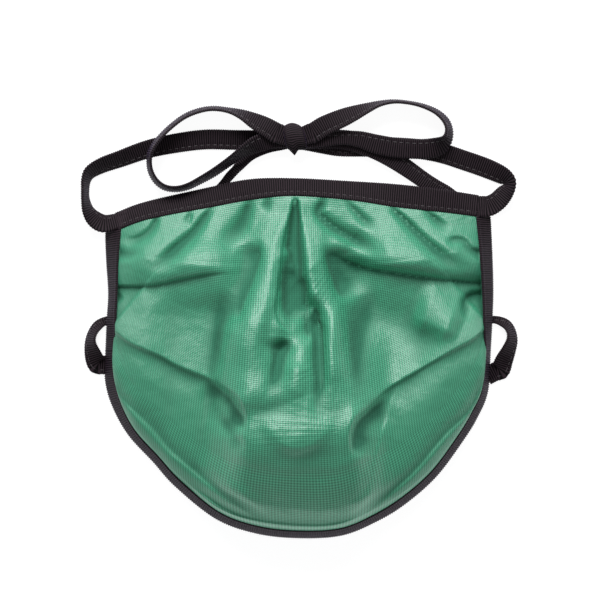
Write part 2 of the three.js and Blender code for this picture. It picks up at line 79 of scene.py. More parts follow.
# How square its shape is, how strong the ribs are and how far they slant, and how fine the mesh is.
KNOT_EDGE_SHARE = 0.94
KNOT_SQUARENESS = 12
KNOT_SIDE_POWER = 0.8
KNOT_TOP_POWER = 0.7
KNOT_RIB_SWELL = 0.022
KNOT_RIB_TILT = 0.12
KNOT_ROUND_STEPS = 176
KNOT_ACROSS_STEPS = 25


def run_of(points):
    """Length along a line of points, from its first one to each of them."""
    return np.concatenate([[0.0], np.cumsum(np.linalg.norm(np.diff(points, axis=0), axis=1))])


def put_mesh(name, points, faces, material, marks=None):
    """Puts points, and faces as rows of point numbers, into a mesh of smooth faces that point outwards,
    which is where the volume they close comes out positive. A face that names a point twice is a flat
    triangle. marks are each point's two texture numbers."""
    first, second, third, fourth = (points[faces[:, k]] for k in range(4))
    volume = np.sum(first * np.cross(second, third)) + np.sum(first * np.cross(third, fourth))
    if volume < 0:
        faces = faces[:, ::-1]
    corners = [[corner for k, corner in enumerate(face) if corner not in face[:k]]
               for face in faces.tolist()]
    mesh = bpy.data.meshes.new(name)
    mesh.from_pydata(points.tolist(), [], corners)
    if marks is not None:
        numbers = np.empty(len(mesh.loops), int)
        mesh.loops.foreach_get("vertex_index", numbers)
        layer = mesh.uv_layers.new(name="along_and_across")
        layer.data.foreach_set("uv", marks[numbers].astype(float).ravel())
    mesh.polygons.foreach_set("use_smooth", [len(face) == 4 for face in corners])
    mesh.materials.append(material)
    mesh.update()
    piece = bpy.data.objects.new(name, mesh)
    bpy.context.collection.objects.link(piece)
    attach(piece, "root")
    return piece


def round_and_along(stations, around):
    """Faces of a closed tube of stations rings, with around points each, and a fan on the middle of each
    end. The two end middles are the last two points."""
    station, place = np.meshgrid(np.arange(stations - 1), np.arange(around), indexing="ij")
    here = station * around + place
    beside = station * around + (place + 1) % around
    sides = np.stack([here, beside, beside + around, here + around], -1).reshape(-1, 4)
    ring = np.arange(around)
    after = (ring + 1) % around
    last = (stations - 1) * around
    middle = np.full(around, stations * around)
    start = np.stack([middle, after, ring, ring], -1)
    end = np.stack([middle + 1, last + ring, last + after, last + after], -1)
    return np.concatenate([sides, start, end])


def tied_turn(name, material):
    """Band round the x axis. At share s of its width and angle v round it, y is b * sign(cos v)|cos v|^0.8
    and z is h/2 + h/2 * sign(sin v)|sin v|^0.7, both times sqrt(1 - |s|^12) and the ribs' wave along the
    turn. b grows at the lower side towards the tip by T * (1 - |s - tip| / spread), and at the upper side
    by U * (1 - (s / 0.85)^2)."""
    share = np.sin(np.linspace(-1, 1, KNOT_ACROSS_STEPS) * math.pi / 2 * KNOT_EDGE_SHARE)[:, None]
    angle = np.linspace(0, 2 * math.pi, KNOT_ROUND_STEPS, endpoint=False)[None, :]
    cosine, sine = np.cos(angle), np.sin(angle)
    tip = KNOT_TIP * np.clip(1 - np.abs(share - KNOT_TIP_PLACE) / KNOT_TIP_SPREAD, 0, 1)
    bulge = KNOT_BULGE * np.clip(1 - (share / KNOT_BULGE_SPREAD) ** 2, 0, 1)
    reach = np.where(cosine > 0, KNOT_UPWARDS + bulge, KNOT_DOWNWARDS + tip)
    closing = np.sqrt(1 - np.abs(share) ** KNOT_SQUARENESS)
    y = reach * np.sign(cosine) * np.abs(cosine) ** KNOT_SIDE_POWER
    z = KNOT_HEIGHT / 2 * np.sign(sine) * np.abs(sine) ** KNOT_TOP_POWER
    ring_y, ring_z = y[KNOT_ACROSS_STEPS // 2], z[0]
    closed_ring = np.stack([np.append(ring_y, ring_y[0]), np.append(ring_z, ring_z[0])], 1)
    ring = run_of(closed_ring)[:-1][None, :]
    tilted_ring = ring + KNOT_RIB_TILT * share * KNOT_HALF_WIDTH
    turns = np.round(ring.max() / RIB_PITCH) / ring.max()
    wave = 1 + KNOT_RIB_SWELL * np.cos(2 * math.pi * turns * tilted_ring)
    y, z = y * closing * wave, z * closing * wave
    x = KNOT_LEFT + KNOT_HALF_WIDTH * share + KNOT_SLANT * y
    points = np.stack([x + 0 * z, KNOT_MIDDLE_Y + y, np.maximum(KNOT_HEIGHT / 2 + z, 0)], -1)
    ends = points[[0, -1]].mean(axis=1)
    marks = np.stack([tilted_ring, share * KNOT_HALF_WIDTH + 0 * ring], -1)
    marks = np.vstack([marks.reshape(-1, 2), marks[[0, -1], 0]])
    faces = round_and_along(KNOT_ACROSS_STEPS, KNOT_ROUND_STEPS)
    return put_mesh(name, np.vstack([points.reshape(-1, 3), ends]), faces, material, marks)


def new_material(name, roughness, specular, sheen, sheen_roughness, sheen_tint):
    """Material with a Principled shader whose plain values are set, and its node tree's tools."""
    material = bpy.data.materials.new(name)
    material.use_nodes = True
    nodes, links = material.node_tree.nodes, material.node_tree.links
    shader = nodes["Principled BSDF"]
    shader.inputs["Roughness"].default_value = roughness
    shader.inputs["Specular IOR Level"].default_value = specular
    shader.inputs["Sheen Weight"].default_value = sheen
    shader.inputs["Sheen Roughness"].default_value = sheen_roughness
    shader.inputs["Sheen Tint"].default_value = (*sheen_tint, 1)
    return material, nodes, links, shader


def worked_out(nodes, links, operation, *values):
    """Result of a Math node whose values are plain numbers or other nodes' sockets."""
    maths = nodes.new("ShaderNodeMath")
    maths.operation = operation
    for socket, value in zip(maths.inputs, values):
        if isinstance(value, bpy.types.NodeSocket):
            links.new(value, socket)
        else:
            socket.default_value = value
    return maths.outputs[0]


def woven_threads():
    """Node group: a plain weave. From along and across in metres, and the two thread pitches in metres, it
    gives 0.5 + 0.25 * (sin(2 pi along / pitch) + sin(2 pi across / pitch)), high where threads cross."""
    group = bpy.data.node_groups.new("woven_threads", "ShaderNodeTree")
    sockets = group.interface
    sockets.new_socket("Marks", in_out="INPUT", socket_type="NodeSocketVector")
    sockets.new_socket("Along Pitch", in_out="INPUT", socket_type="NodeSocketFloat")
    sockets.new_socket("Across Pitch", in_out="INPUT", socket_type="NodeSocketFloat")
    sockets.new_socket("Height", in_out="OUTPUT", socket_type="NodeSocketFloat")
    nodes, links = group.nodes, group.links
    start, end = nodes.new("NodeGroupInput"), nodes.new("NodeGroupOutput")
    split = nodes.new("ShaderNodeSeparateXYZ")
    links.new(start.outputs["Marks"], split.inputs[0])
    waves = []
    for axis, pitch in (("X", "Along Pitch"), ("Y", "Across Pitch")):
        turns = worked_out(nodes, links, "DIVIDE", split.outputs[axis], start.outputs[pitch])
        angle = worked_out(nodes, links, "MULTIPLY", turns, 2 * math.pi)
        waves.append(worked_out(nodes, links, "SINE", angle))
    both = worked_out(nodes, links, "ADD", *waves)
    links.new(worked_out(nodes, links, "MULTIPLY_ADD", both, 0.25, 0.5), end.inputs["Height"])
    return group


threads = woven_threads()


def threads_on(nodes, links, along_pitch, across_pitch):
    """The woven threads node group on a piece's own texture numbers."""
    marks = nodes.new("ShaderNodeUVMap")
    marks.uv_map = "along_and_across"
    weave = nodes.new("ShaderNodeGroup")
    weave.node_tree = threads
    weave.inputs["Along Pitch"].default_value = along_pitch
    weave.inputs["Across Pitch"].default_value = across_pitch
    links.new(marks.outputs["UV"], weave.inputs["Marks"])
    return marks, weave


def ramp_between(nodes, links, source, low_place, low_colour, high_place, high_colour):
    """Colour ramp from one colour to another, driven by a source."""
    ramp = nodes.new("ShaderNodeValToRGB")
    stops = ((low_place, low_colour), (high_place, high_colour))
    for element, (place, colour) in zip(ramp.color_ramp.elements, stops):
        element.position = place
        element.color = (*colour, 1)
    links.new(source, ramp.inputs["Fac"])
    return ramp


def bumped(nodes, links, source, distance, strength):
    """Bump node of a height, given in metres."""
    bump = nodes.new("ShaderNodeBump")
    bump.inputs["Distance"].default_value = distance
    bump.inputs["Strength"].default_value = strength
    links.new(source, bump.inputs["Height"])
    return bump


# Tape colours: painted shade in the grooves between the ribs and a painted highlight on their crests.
TAPE_GROOVE_SHADE = (0.0005, 0.0003, 0.0005)
TAPE_CREST_HIGHLIGHT = (0.040, 0.026, 0.034)
GROOVE_PLACE = 0.34
CREST_PLACE = 0.66
TAPE_THREAD_PITCH = 0.00042
TAPE_THREAD_DEPTH = 0.00006


def black_ribbed_tape():
    """Black polyester tape: painted shade in the grooves between the ribs and a grey painted highlight on
    their crests, by 0.5 + 0.4 * cos(2 pi along / rib pitch), with the fine weave as a bump."""
    material, nodes, links, shader = new_material(
        "black_ribbed_tape", roughness=0.6, specular=0.16, sheen=0.16, sheen_roughness=0.35,
        sheen_tint=(0.55, 0.42, 0.90),
    )
    marks, weave = threads_on(nodes, links, RIB_PITCH, TAPE_THREAD_PITCH)
    split = nodes.new("ShaderNodeSeparateXYZ")
    links.new(marks.outputs["UV"], split.inputs[0])
    angle = worked_out(nodes, links, "MULTIPLY", split.outputs["X"], 2 * math.pi / RIB_PITCH)
    height = worked_out(nodes, links, "MULTIPLY_ADD", worked_out(nodes, links, "COSINE", angle), 0.4, 0.5)
    ramp = ramp_between(nodes, links, height, GROOVE_PLACE, TAPE_GROOVE_SHADE, CREST_PLACE, TAPE_CREST_HIGHLIGHT)
    links.new(ramp.outputs["Color"], shader.inputs["Base Color"])
    bump = bumped(nodes, links, weave.outputs["Height"], TAPE_THREAD_DEPTH, 0.6)
    links.new(bump.outputs["Normal"], shader.inputs["Normal"])
    return material


tape_black = black_ribbed_tape()
knot = tied_turn("tied_knot", tape_black)
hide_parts("bow_knot")

# Upper ties. The top binding's tape runs on at both corners, folded double to 10 mm and sewn shut along its
# open edge. Both ties curl round and lie back to the knot, which holds them.
TAPE_THICKNESS = 0.0014
EDGE_SQUARENESS = 14

# The ribs stand off the face by the depth and off the edges by a share of the half width, and are weaker
# between the seam and the open edge. The seam's stitches press the tape in.
RIB_DEPTH = 0.00024
RIB_TOOTH = 0.028
LIP_RIBS = 0.45
SEAM_INSET = 0.0022
SEAM_PRESS = 0.00022
SEAM_SPREAD = 0.00045

# How fine the mesh is along and across, and the measuring of a curve between two of its rows.
STEPS_PER_RIB = 4
ACROSS_POINTS = 17
FINE_STEPS = 60

# Each row of a route: x and y of the tape's middle, lift of its lowest corner over the ground,
# its width, and the lean in degrees of its right-hand edge upwards, seen along the route.
TIE_LEFT_ROUTE = [
    (-0.0917, 0.0683, 0.0006, 0.0088, -28),
    (-0.0978, 0.0672, 0.0001, 0.0096, -22),
    (-0.1022, 0.0694, 0.0, 0.01, -34),
    (-0.1054, 0.0736, 0.0, 0.01, -56),
    (-0.1068, 0.079, 0.0, 0.01, -70),
    (-0.107, 0.084, 0.0, 0.01, -72),
    (-0.1065, 0.089, 0.0, 0.01, -66),
    (-0.1042, 0.093, 0.0, 0.01, -52),
    (-0.0982, 0.0964, 0.0, 0.01, -42),
    (-0.0897, 0.0994, 0.0, 0.01, -36),
    (-0.0762, 0.1042, 0.0, 0.0096, -20),
    (-0.0622, 0.1073, 0.0, 0.0098, -6),
    (-0.0472, 0.1092, 0.0, 0.01, 0),
    (-0.0322, 0.109, 0.0, 0.01, 0),
    (-0.0187, 0.1088, 0.0, 0.01, 0),
    (-0.0087, 0.1089, 0.0, 0.0085, 0),
]
TIE_RIGHT_ROUTE = [
    (0.0906, 0.0757, 0.0007, 0.011, 16),
    (0.0946, 0.076, 0.0002, 0.0106, 12),
    (0.0986, 0.0782, 0.0, 0.01, 12),
    (0.102, 0.0818, 0.0, 0.01, 28),
    (0.1046, 0.0854, 0.0, 0.01, 52),
    (0.1044, 0.0888, 0.0, 0.01, 50),
    (0.1006, 0.0916, 0.0, 0.01, 28),
    (0.0925, 0.0952, 0.0, 0.01, 10),
    (0.0822, 0.0988, 0.0, 0.01, 6),
    (0.0717, 0.1022, 0.0, 0.01, 2),
    (0.0602, 0.1044, 0.0, 0.01, 0),
    (0.0462, 0.1054, 0.0, 0.01, 0),
    (0.0332, 0.1056, 0.0, 0.01, 0),
    (0.0202, 0.1058, 0.0, 0.01, 0),
    (0.0112, 0.107, 0.0, 0.0096, 0),
    (0.0042, 0.1078, 0.0, 0.0085, 0),
]
LEFT_CORNER_END = (-0.0850, 0.0704, 0.0012, 0.0084, -24)
RIGHT_CORNER_END = (0.0850, 0.0754, 0.0012, 0.0108, 12)
KNOT_CORE = (-0.0030, 0.1090)
TIE_END = (*KNOT_CORE, 0.0, 0.0085, 0)


def through_rows(rows, places):
    """Smooth curve through the rows, each a list of numbers. Between two rows every number follows a cubic
    whose slope at a row is half the difference of its neighbours. Past the ends the rows are mirrored."""
    rows = np.asarray(rows, float)
    rows = np.vstack([2 * rows[0] - rows[1], rows, 2 * rows[-1] - rows[-2]])
    row = np.clip(np.floor(places).astype(int), 0, len(rows) - 4)
    share = (places - row)[:, None]
    before, start, end, after = (rows[row + k] for k in range(4))
    start_slope = (end - before) / 2
    end_slope = (after - start) / 2
    return ((2 * share**3 - 3 * share**2 + 1) * start + (share**3 - 2 * share**2 + share) * start_slope
            + (3 * share**2 - 2 * share**3) * end + (share**3 - share**2) * end_slope)


def even_places(rows, step, columns):
    """Places along the rows that are one step of true length apart, measured in the first columns."""
    fine = np.linspace(0, len(rows) - 1, FINE_STEPS * (len(rows) - 1) + 1)
    run = run_of(through_rows(rows, fine)[:, :columns])
    count = max(2, round(run[-1] / step))
    return np.interp(np.linspace(0, run[-1], count + 1), run, fine)


def unit(vectors):
    """The vectors at length one."""
    return vectors / np.linalg.norm(vectors, axis=-1, keepdims=True)


def lying_tape(route):
    """Frame of a tape along its route: its middle line, the direction across it, its upward normal and its
    half width. It leans about its own middle line and stands on its lowest corner, so the middle is
    lift + half width * |sin lean| + half thickness * cos lean high."""
    places = even_places(route, RIB_PITCH / STEPS_PER_RIB, 2)
    x, y, lift, width, lean = through_rows(route, places).T
    lean = np.radians(lean)
    along = np.gradient(np.stack([x, y], 1), axis=0)
    right = unit(np.stack([along[:, 1], -along[:, 0], 0 * x], 1))
    up = np.array([0.0, 0.0, 1.0])
    cosine, sine = np.cos(lean)[:, None], np.sin(lean)[:, None]
    height = np.maximum(lift, 0) + width / 2 * np.abs(np.sin(lean)) + TAPE_THICKNESS / 2 * np.cos(lean)
    middle = np.stack([x, y, height], 1)
    return middle, right * cosine + up * sine, up * cosine - right * sine, width / 2


def ribbed_tape(name, middle, across, normal, half, seam_side, material):
    """Tape carried along its middle line. At share a of the half width (-1 to 1) and length u along, each
    face stands T * sqrt(1 - |a|^14) off the middle, where T is half the thickness, plus the ribs' wave D *
    cos(2 pi u / pitch), weaker between the seam and the open edge, less the dimple that the stitches pull
    in. The wave also moves the edges in and out a little."""
    spread = np.sin(np.linspace(-1, 1, ACROSS_POINTS) * math.pi / 2)
    share = np.concatenate([spread, spread[-2:0:-1]])[None, :]
    face = np.concatenate([np.ones(ACROSS_POINTS), -np.ones(ACROSS_POINTS - 2)])[None, :]
    run = run_of(middle)[:, None]
    wide = half[:, None]
    wave = np.cos(2 * math.pi * run / RIB_PITCH)
    from_seam = (share * seam_side - 1) * wide + SEAM_INSET
    ribs = 1 - (1 - LIP_RIBS) * np.clip(from_seam / SEAM_SPREAD, 0, 1)
    pulled_in = SEAM_PRESS * np.exp(-((from_seam / SEAM_SPREAD) ** 2))
    roundness = np.sqrt(1 - np.abs(share) ** EDGE_SQUARENESS)
    thick = roundness * (TAPE_THICKNESS / 2 + RIB_DEPTH * wave * ribs - pulled_in)
    sideways = (share * wide * (1 + RIB_TOOTH * wave))[..., None]
    points = middle[:, None] + across[:, None] * sideways + normal[:, None] * (face * thick)[..., None]
    points[..., 2] = np.maximum(points[..., 2], 0)
    marks = np.stack([run + 0 * share, share * wide], -1).reshape(-1, 2)
    marks = np.vstack([marks, [[0.0, 0.0], [run[-1, 0], 0.0]]])
    ends = middle[[0, -1]]
    faces = round_and_along(len(middle), share.shape[1])
    return put_mesh(name, np.vstack([points.reshape(-1, 3), ends]), faces, material, marks)


def free_tape(node, route, seam_side):
    """Lays a tape along its route in place of a CAD node. Gives the tape, its frame and the side that its
    seam is on."""
    frame_of_tape = lying_tape(route)
    tape = ribbed_tape(node + "_tape", *frame_of_tape, seam_side, tape_black)
    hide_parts(node)
    return tape, frame_of_tape, seam_side


upper_ties = [
    free_tape("top_tie_left", [LEFT_CORNER_END, *TIE_LEFT_ROUTE, TIE_END], 1),
    free_tape("top_tie_right", [RIGHT_CORNER_END, *TIE_RIGHT_ROUTE, TIE_END], -1),
]

# Bow. The same tape in two loops, held by the knot. Each leaves it nearly flat, turns up on its edge at the
# bend and comes back to it, the left one as a thin strand and the right one flat on top of its tie.
LOOP_LEFT_ROUTE = [
    (-0.0095, 0.1117, 0.006, 0.0098, -2),
    (-0.012, 0.1126, 0.006, 0.0102, -6),
    (-0.0164, 0.1152, 0.0056, 0.01, -16),
    (-0.0222, 0.1182, 0.0036, 0.01, -36),
    (-0.0284, 0.1214, 0.0016, 0.01, -60),
    (-0.0352, 0.1236, 0.0004, 0.01, -76),
    (-0.0432, 0.1246, 0.0, 0.01, -79),
    (-0.0506, 0.1234, 0.0, 0.01, -78),
    (-0.0577, 0.1204, 0.0003, 0.01, -78),
    (-0.0643, 0.1154, 0.002, 0.01, -78),
    (-0.0698, 0.1098, 0.0048, 0.01, -78),
    (-0.0734, 0.1046, 0.0052, 0.01, -78),
    (-0.0749, 0.0994, 0.0034, 0.01, -78),
    (-0.0744, 0.0936, 0.001, 0.01, -78),
    (-0.0716, 0.0884, 0.0002, 0.01, -78),
    (-0.0672, 0.0852, 0.0, 0.01, -78),
    (-0.0616, 0.0844, 0.0, 0.01, -78),
    (-0.056, 0.0856, 0.0, 0.01, -76),
    (-0.0506, 0.0882, 0.0, 0.01, -74),
    (-0.0426, 0.0928, 0.0004, 0.01, -70),
    (-0.0348, 0.0982, 0.0024, 0.01, -68),
    (-0.0284, 0.1028, 0.0038, 0.01, -60),
    (-0.0216, 0.1066, 0.0041, 0.0096, -32),
    (-0.0148, 0.1086, 0.0041, 0.0086, -6),
    (-0.0089, 0.1089, 0.0041, 0.008, 0),
]
LOOP_RIGHT_ROUTE = [
    (0.0048, 0.1119, 0.006, 0.0098, 0),
    (0.0074, 0.1128, 0.006, 0.0100, 2),
    (0.0122, 0.1158, 0.0059, 0.01, 6),
    (0.0204, 0.1194, 0.0046, 0.01, 20),
    (0.0277, 0.1224, 0.003, 0.01, 42),
    (0.0342, 0.125, 0.0014, 0.01, 62),
    (0.0404, 0.1271, 0.0004, 0.01, 76),
    (0.0474, 0.1281, 0.0, 0.01, 82),
    (0.0552, 0.1274, 0.0, 0.01, 83),
    (0.0622, 0.1257, 0.0, 0.01, 80),
    (0.0685, 0.1228, 0.0, 0.01, 76),
    (0.0728, 0.1188, 0.0004, 0.01, 72),
    (0.0746, 0.1142, 0.0012, 0.01, 70),
    (0.0738, 0.1096, 0.0024, 0.01, 60),
    (0.0706, 0.1064, 0.0028, 0.01, 34),
    (0.0656, 0.1048, 0.003, 0.01, 10),
    (0.0582, 0.1044, 0.0039, 0.01, 2),
    (0.0482, 0.105, 0.0041, 0.01, 0),
    (0.0386, 0.1068, 0.0041, 0.0096, 0),
    (0.0302, 0.1092, 0.0041, 0.0082, 0),
    (0.0222, 0.11, 0.0041, 0.007, 0),
    (0.0132, 0.1094, 0.0041, 0.0074, 0),
    (0.0042, 0.1089, 0.0041, 0.008, 0),
]
LOOP_START = (*KNOT_CORE, 0.0045, 0.0080, 0)
LOOP_END = (*KNOT_CORE, 0.0035, 0.0080, 0)

bow_loops = [
    free_tape("bow_loop_left", [LOOP_START, *LOOP_LEFT_ROUTE, LOOP_END], -1),
    free_tape("bow_loop_right", [LOOP_START, *LOOP_RIGHT_ROUTE, LOOP_END], 1),
]

# Tails. The bow's two free ends, which come out under the loops and slip in behind the top binding,
# the left one twisted narrow and the right one flat. Their ends are cut plainly across.
TAIL_LEFT_ROUTE = [
    (-0.0089, 0.1076, 0.002, 0.0075, 0),
    (-0.014, 0.1066, 0.002, 0.0075, -2),
    (-0.0192, 0.1044, 0.0021, 0.0064, 0),
    (-0.0246, 0.1012, 0.0019, 0.0054, 0),
    (-0.0288, 0.0974, 0.0003, 0.0052, -10),
    (-0.032, 0.094, 0.0, 0.0052, -36),
    (-0.035, 0.0908, 0.0, 0.0046, -16),
    (-0.0378, 0.0872, 0.0, 0.0044, -4),
    (-0.0404, 0.0832, 0.0, 0.006, 0),
    (-0.0426, 0.0786, 0.0, 0.009, 0),
    (-0.0442, 0.0734, 0.0, 0.01, 0),
    (-0.045, 0.0676, 0.0, 0.01, 0),
    (-0.0448, 0.0616, 0.0, 0.01, 0),
    (-0.0438, 0.0558, 0.0, 0.01, 0),
    (-0.0424, 0.051, 0.0, 0.01, 0),
]
TAIL_RIGHT_ROUTE = [
    (0.0042, 0.1088, 0.002, 0.0085, 0),
    (0.0112, 0.1092, 0.002, 0.009, 0),
    (0.0192, 0.1094, 0.002, 0.0094, 0),
    (0.0266, 0.1084, 0.002, 0.01, 0),
    (0.0336, 0.106, 0.002, 0.01, 0),
    (0.0402, 0.1032, 0.002, 0.01, 0),
    (0.0462, 0.0998, 0.002, 0.0096, 0),
    (0.0516, 0.0962, 0.0019, 0.009, 0),
    (0.0568, 0.0926, 0.0008, 0.0086, 4),
    (0.0622, 0.0888, 0.0, 0.0084, 4),
    (0.0676, 0.0852, 0.0, 0.0086, 2),
    (0.0728, 0.0816, 0.0, 0.0096, 0),
    (0.0774, 0.0776, 0.0, 0.01, 0),
]
TAIL_START = (*KNOT_CORE, 0.0020, 0.0075, 0)

bow_tails = [
    free_tape("tail_left", [TAIL_START, *TAIL_LEFT_ROUTE], 1),
    free_tape("tail_right", [TAIL_START, *TAIL_RIGHT_ROUTE], -1),
]

# Lower tie. One more tape that passes behind the mask and comes out as a small loop at each side, turned
# up on its edge at the bend. Its ends are sewn under the side bindings.
LOWER_TIE_ROUTE = [
    (-0.0992, -0.0034, 0.0, 0.0094, 2),
    (-0.1012, -0.0029, 0.0, 0.0098, 8),
    (-0.103, 0.0014, 0.0, 0.01, 30),
    (-0.1043, 0.0068, 0.0, 0.01, 54),
    (-0.1039, 0.011, 0.0, 0.009, 60),
    (-0.102, 0.0148, 0.0, 0.007, 50),
    (-0.099, 0.0176, 0.0, 0.0048, 20),
    (-0.0954, 0.0188, 0.0, 0.0046, 4),
    (-0.09, 0.019, 0.0, 0.007, 0),
    (-0.08, 0.019, 0.0, 0.01, 0),
    (-0.055, 0.019, 0.0, 0.01, 0),
    (-0.028, 0.019, 0.0, 0.01, 0),
    (0.0, 0.019, 0.0, 0.01, 0),
    (0.028, 0.019, 0.0, 0.01, 0),
    (0.055, 0.019, 0.0, 0.01, 0),
    (0.08, 0.019, 0.0, 0.01, 0),
    (0.09, 0.0192, 0.0, 0.007, 0),
    (0.0956, 0.0193, 0.0, 0.004, 4),
    (0.1, 0.0186, 0.0, 0.0046, 24),
    (0.1038, 0.0164, 0.0, 0.007, 50),
    (0.1058, 0.0128, 0.0, 0.009, 60),
    (0.106, 0.0086, 0.0, 0.01, 56),
    (0.1044, 0.0038, 0.0, 0.01, 44),
    (0.1022, -0.0012, 0.0, 0.01, 26),
    (0.1004, -0.0058, 0.0, 0.0098, 8),
    (0.0979, -0.0068, 0.0, 0.0094, 2),
]
LOWER_LEFT_END = (-0.0945, -0.0036, 0.0, 0.0094, 0)
LOWER_RIGHT_END = (0.0935, -0.0090, 0.0, 0.0094, 0)

lower_tie = free_tape("lower_tie", [LOWER_LEFT_END, *LOWER_TIE_ROUTE, LOWER_RIGHT_END], -1)

# Bindings. The tape folded over the cloth's raw edge and sewn through. The top one lies nearly flat, the
# side ones slope down to the ground, and the bottom one stands on its edge round the curve.
# Each row: x, y, z on the cloth's edge, then x, y, z on the binding's outer edge.
TOP_EDGE = [
    (-0.0893, 0.064, 0.006, -0.092, 0.0726, 0.0014),
    (-0.0747, 0.069, 0.0076, -0.0772, 0.078, 0.0015),
    (-0.0447, 0.0746, 0.0074, -0.0467, 0.085, 0.0032),
    (-0.0232, 0.0786, 0.0068, -0.0247, 0.0894, 0.003),
    (-0.0022, 0.0806, 0.0082, -0.0022, 0.0898, 0.0022),
    (0.0252, 0.0784, 0.0074, 0.0252, 0.0884, 0.002),
    (0.0452, 0.0751, 0.0062, 0.0462, 0.0871, 0.0026),
    (0.0612, 0.0732, 0.0062, 0.0622, 0.0854, 0.0036),
    (0.0732, 0.072, 0.006, 0.0742, 0.0838, 0.0039),
    (0.0884, 0.0702, 0.005, 0.0896, 0.0814, 0.0018),
]
LEFT_EDGE = [
    (-0.0893, 0.064, 0.006, -0.0969, 0.0624, -0.0006),
    (-0.0904, 0.05, 0.0094, -0.0965, 0.0495, -0.0006),
    (-0.091, 0.033, 0.0112, -0.0953, 0.0325, 0.0016),
    (-0.0915, 0.0188, 0.0128, -0.096, 0.0188, 0.004),
    (-0.0913, 0.004, 0.0108, -0.0968, 0.0034, -0.0005),
]
RIGHT_EDGE = [
    (0.0884, 0.0702, 0.005, 0.0955, 0.0696, -0.0006),
    (0.0902, 0.0505, 0.0092, 0.0963, 0.0505, -0.0006),
    (0.0913, 0.033, 0.0108, 0.0966, 0.033, 0.0016),
    (0.0918, 0.019, 0.0128, 0.096, 0.019, 0.004),
    (0.0925, 0.004, 0.0112, 0.0952, 0.0036, -0.0005),
]
BOTTOM_EDGE = [
    (-0.0913, 0.004, 0.0108, -0.0968, 0.0034, -0.0005),
    (-0.091, -0.01, 0.0104, -0.097, -0.011, -0.0005),
    (-0.0886, -0.022, 0.01, -0.0934, -0.024, -0.0005),
    (-0.0816, -0.0359, 0.0099, -0.0854, -0.0383, -0.0005),
    (-0.0698, -0.0492, 0.0098, -0.073, -0.0518, -0.0005),
    (-0.0588, -0.0613, 0.0098, -0.0618, -0.0642, -0.0005),
    (-0.04, -0.0764, 0.0098, -0.042, -0.08, -0.0005),
    (-0.0216, -0.0832, 0.0098, -0.0227, -0.0872, -0.0005),
    (-0.002, -0.0857, 0.0098, -0.0022, -0.0897, -0.0005),
    (0.02, -0.0846, 0.0098, 0.0208, -0.0885, -0.0005),
    (0.037, -0.0778, 0.0098, 0.0392, -0.0811, -0.0005),
    (0.051, -0.069, 0.0098, 0.0535, -0.0722, -0.0005),
    (0.0655, -0.0562, 0.0098, 0.0684, -0.0589, -0.0005),
    (0.0778, -0.0396, 0.0099, 0.0813, -0.0416, -0.0005),
    (0.0848, -0.028, 0.01, 0.0886, -0.0298, -0.0005),
    (0.0904, -0.0156, 0.0106, 0.0939, -0.0166, -0.0005),
    (0.0925, 0.004, 0.0112, 0.0952, 0.0036, -0.0005),
]
LEFT_UNDER_TOP = (-0.0884, 0.0690, 0.0040, -0.0952, 0.0672, -0.0006)
RIGHT_UNDER_TOP = (0.0876, 0.0750, 0.0035, 0.0945, 0.0744, -0.0006)


def binding_frame(rows, lap):
    """Frame of the band between the cloth's edge, less the lap, and the rim: the middle line is halfway, and
    the normal is square to the band and to its run, turned upwards."""
    places = even_places(rows, RIB_PITCH / STEPS_PER_RIB, 3)
    smooth = through_rows(rows, places)
    edge, rim = smooth[:, :3], smooth[:, 3:]
    across = unit(rim - edge)
    inner = edge - across * lap
    normal = unit(np.cross(np.gradient(edge, axis=0), across))
    normal = normal * np.sign(normal[:, 2:])
    return (inner + rim) / 2, across, normal, np.linalg.norm(rim - inner, axis=1) / 2


bindings = []
for node, rows, lap in (
    ("top_binding", TOP_EDGE, -0.0005),
    ("side_binding_left", [LEFT_UNDER_TOP, *LEFT_EDGE], 0.0002),
    ("side_binding_right", [RIGHT_UNDER_TOP, *RIGHT_EDGE], 0.0002),
    ("bottom_binding", BOTTOM_EDGE, -0.0002),
):
    frame_of_binding = binding_frame(rows, lap)
    binding = ribbed_tape(node + "_tape", *frame_of_binding, -1, tape_black)
    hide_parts(node)
    bindings.append((binding, frame_of_binding, -1))

# Cloth. Thin green polyester, plain woven with a satin sheen, gathered into the bindings with a box pleat at
# the top centre and two pleats at each side, which open towards the middle and make the pouch.
CLOTH_COLUMNS = 304
CLOTH_ROWS = 296
INNER_STEP = 4
CLOTH_THICKNESS = 0.0005

# How far the edge is tucked into the bindings, and the share of a side edge that bends to meet the corner.
TUCK = 0.0014
CORNER_SHARE = 0.06

# How far the cloth hangs out over the bottom binding, where that starts on the way down, and its waves.
OVERHANG = 0.0034
OVERHANG_START = 0.82
OVERHANG_WAVES = 6
OVERHANG_WAVE_SHARE = 0.13

# The folds fade out over the last 2 mm before the side and bottom edges and the last 5 mm before the top.
CLOTH_WIDE = 0.186
CLOTH_LONG = 0.166
EDGE_FADE = 0.0020
TOP_FADE = 0.0050
FOLD_LINE_STEPS = 8
FOLD_END_SHARE = 0.001
CREASE_DROP = 0.0003

# The weave's size over the whole cloth. A hollow, where the cloth's colour gets painted shade, is full where
# it lies this deep under the average of the cloth within the reach, in grid steps.
WEAVE_WIDE = 0.20
WEAVE_LONG = 0.18
HOLLOW_REACH = 6
HOLLOW_DEPTH = 0.0016

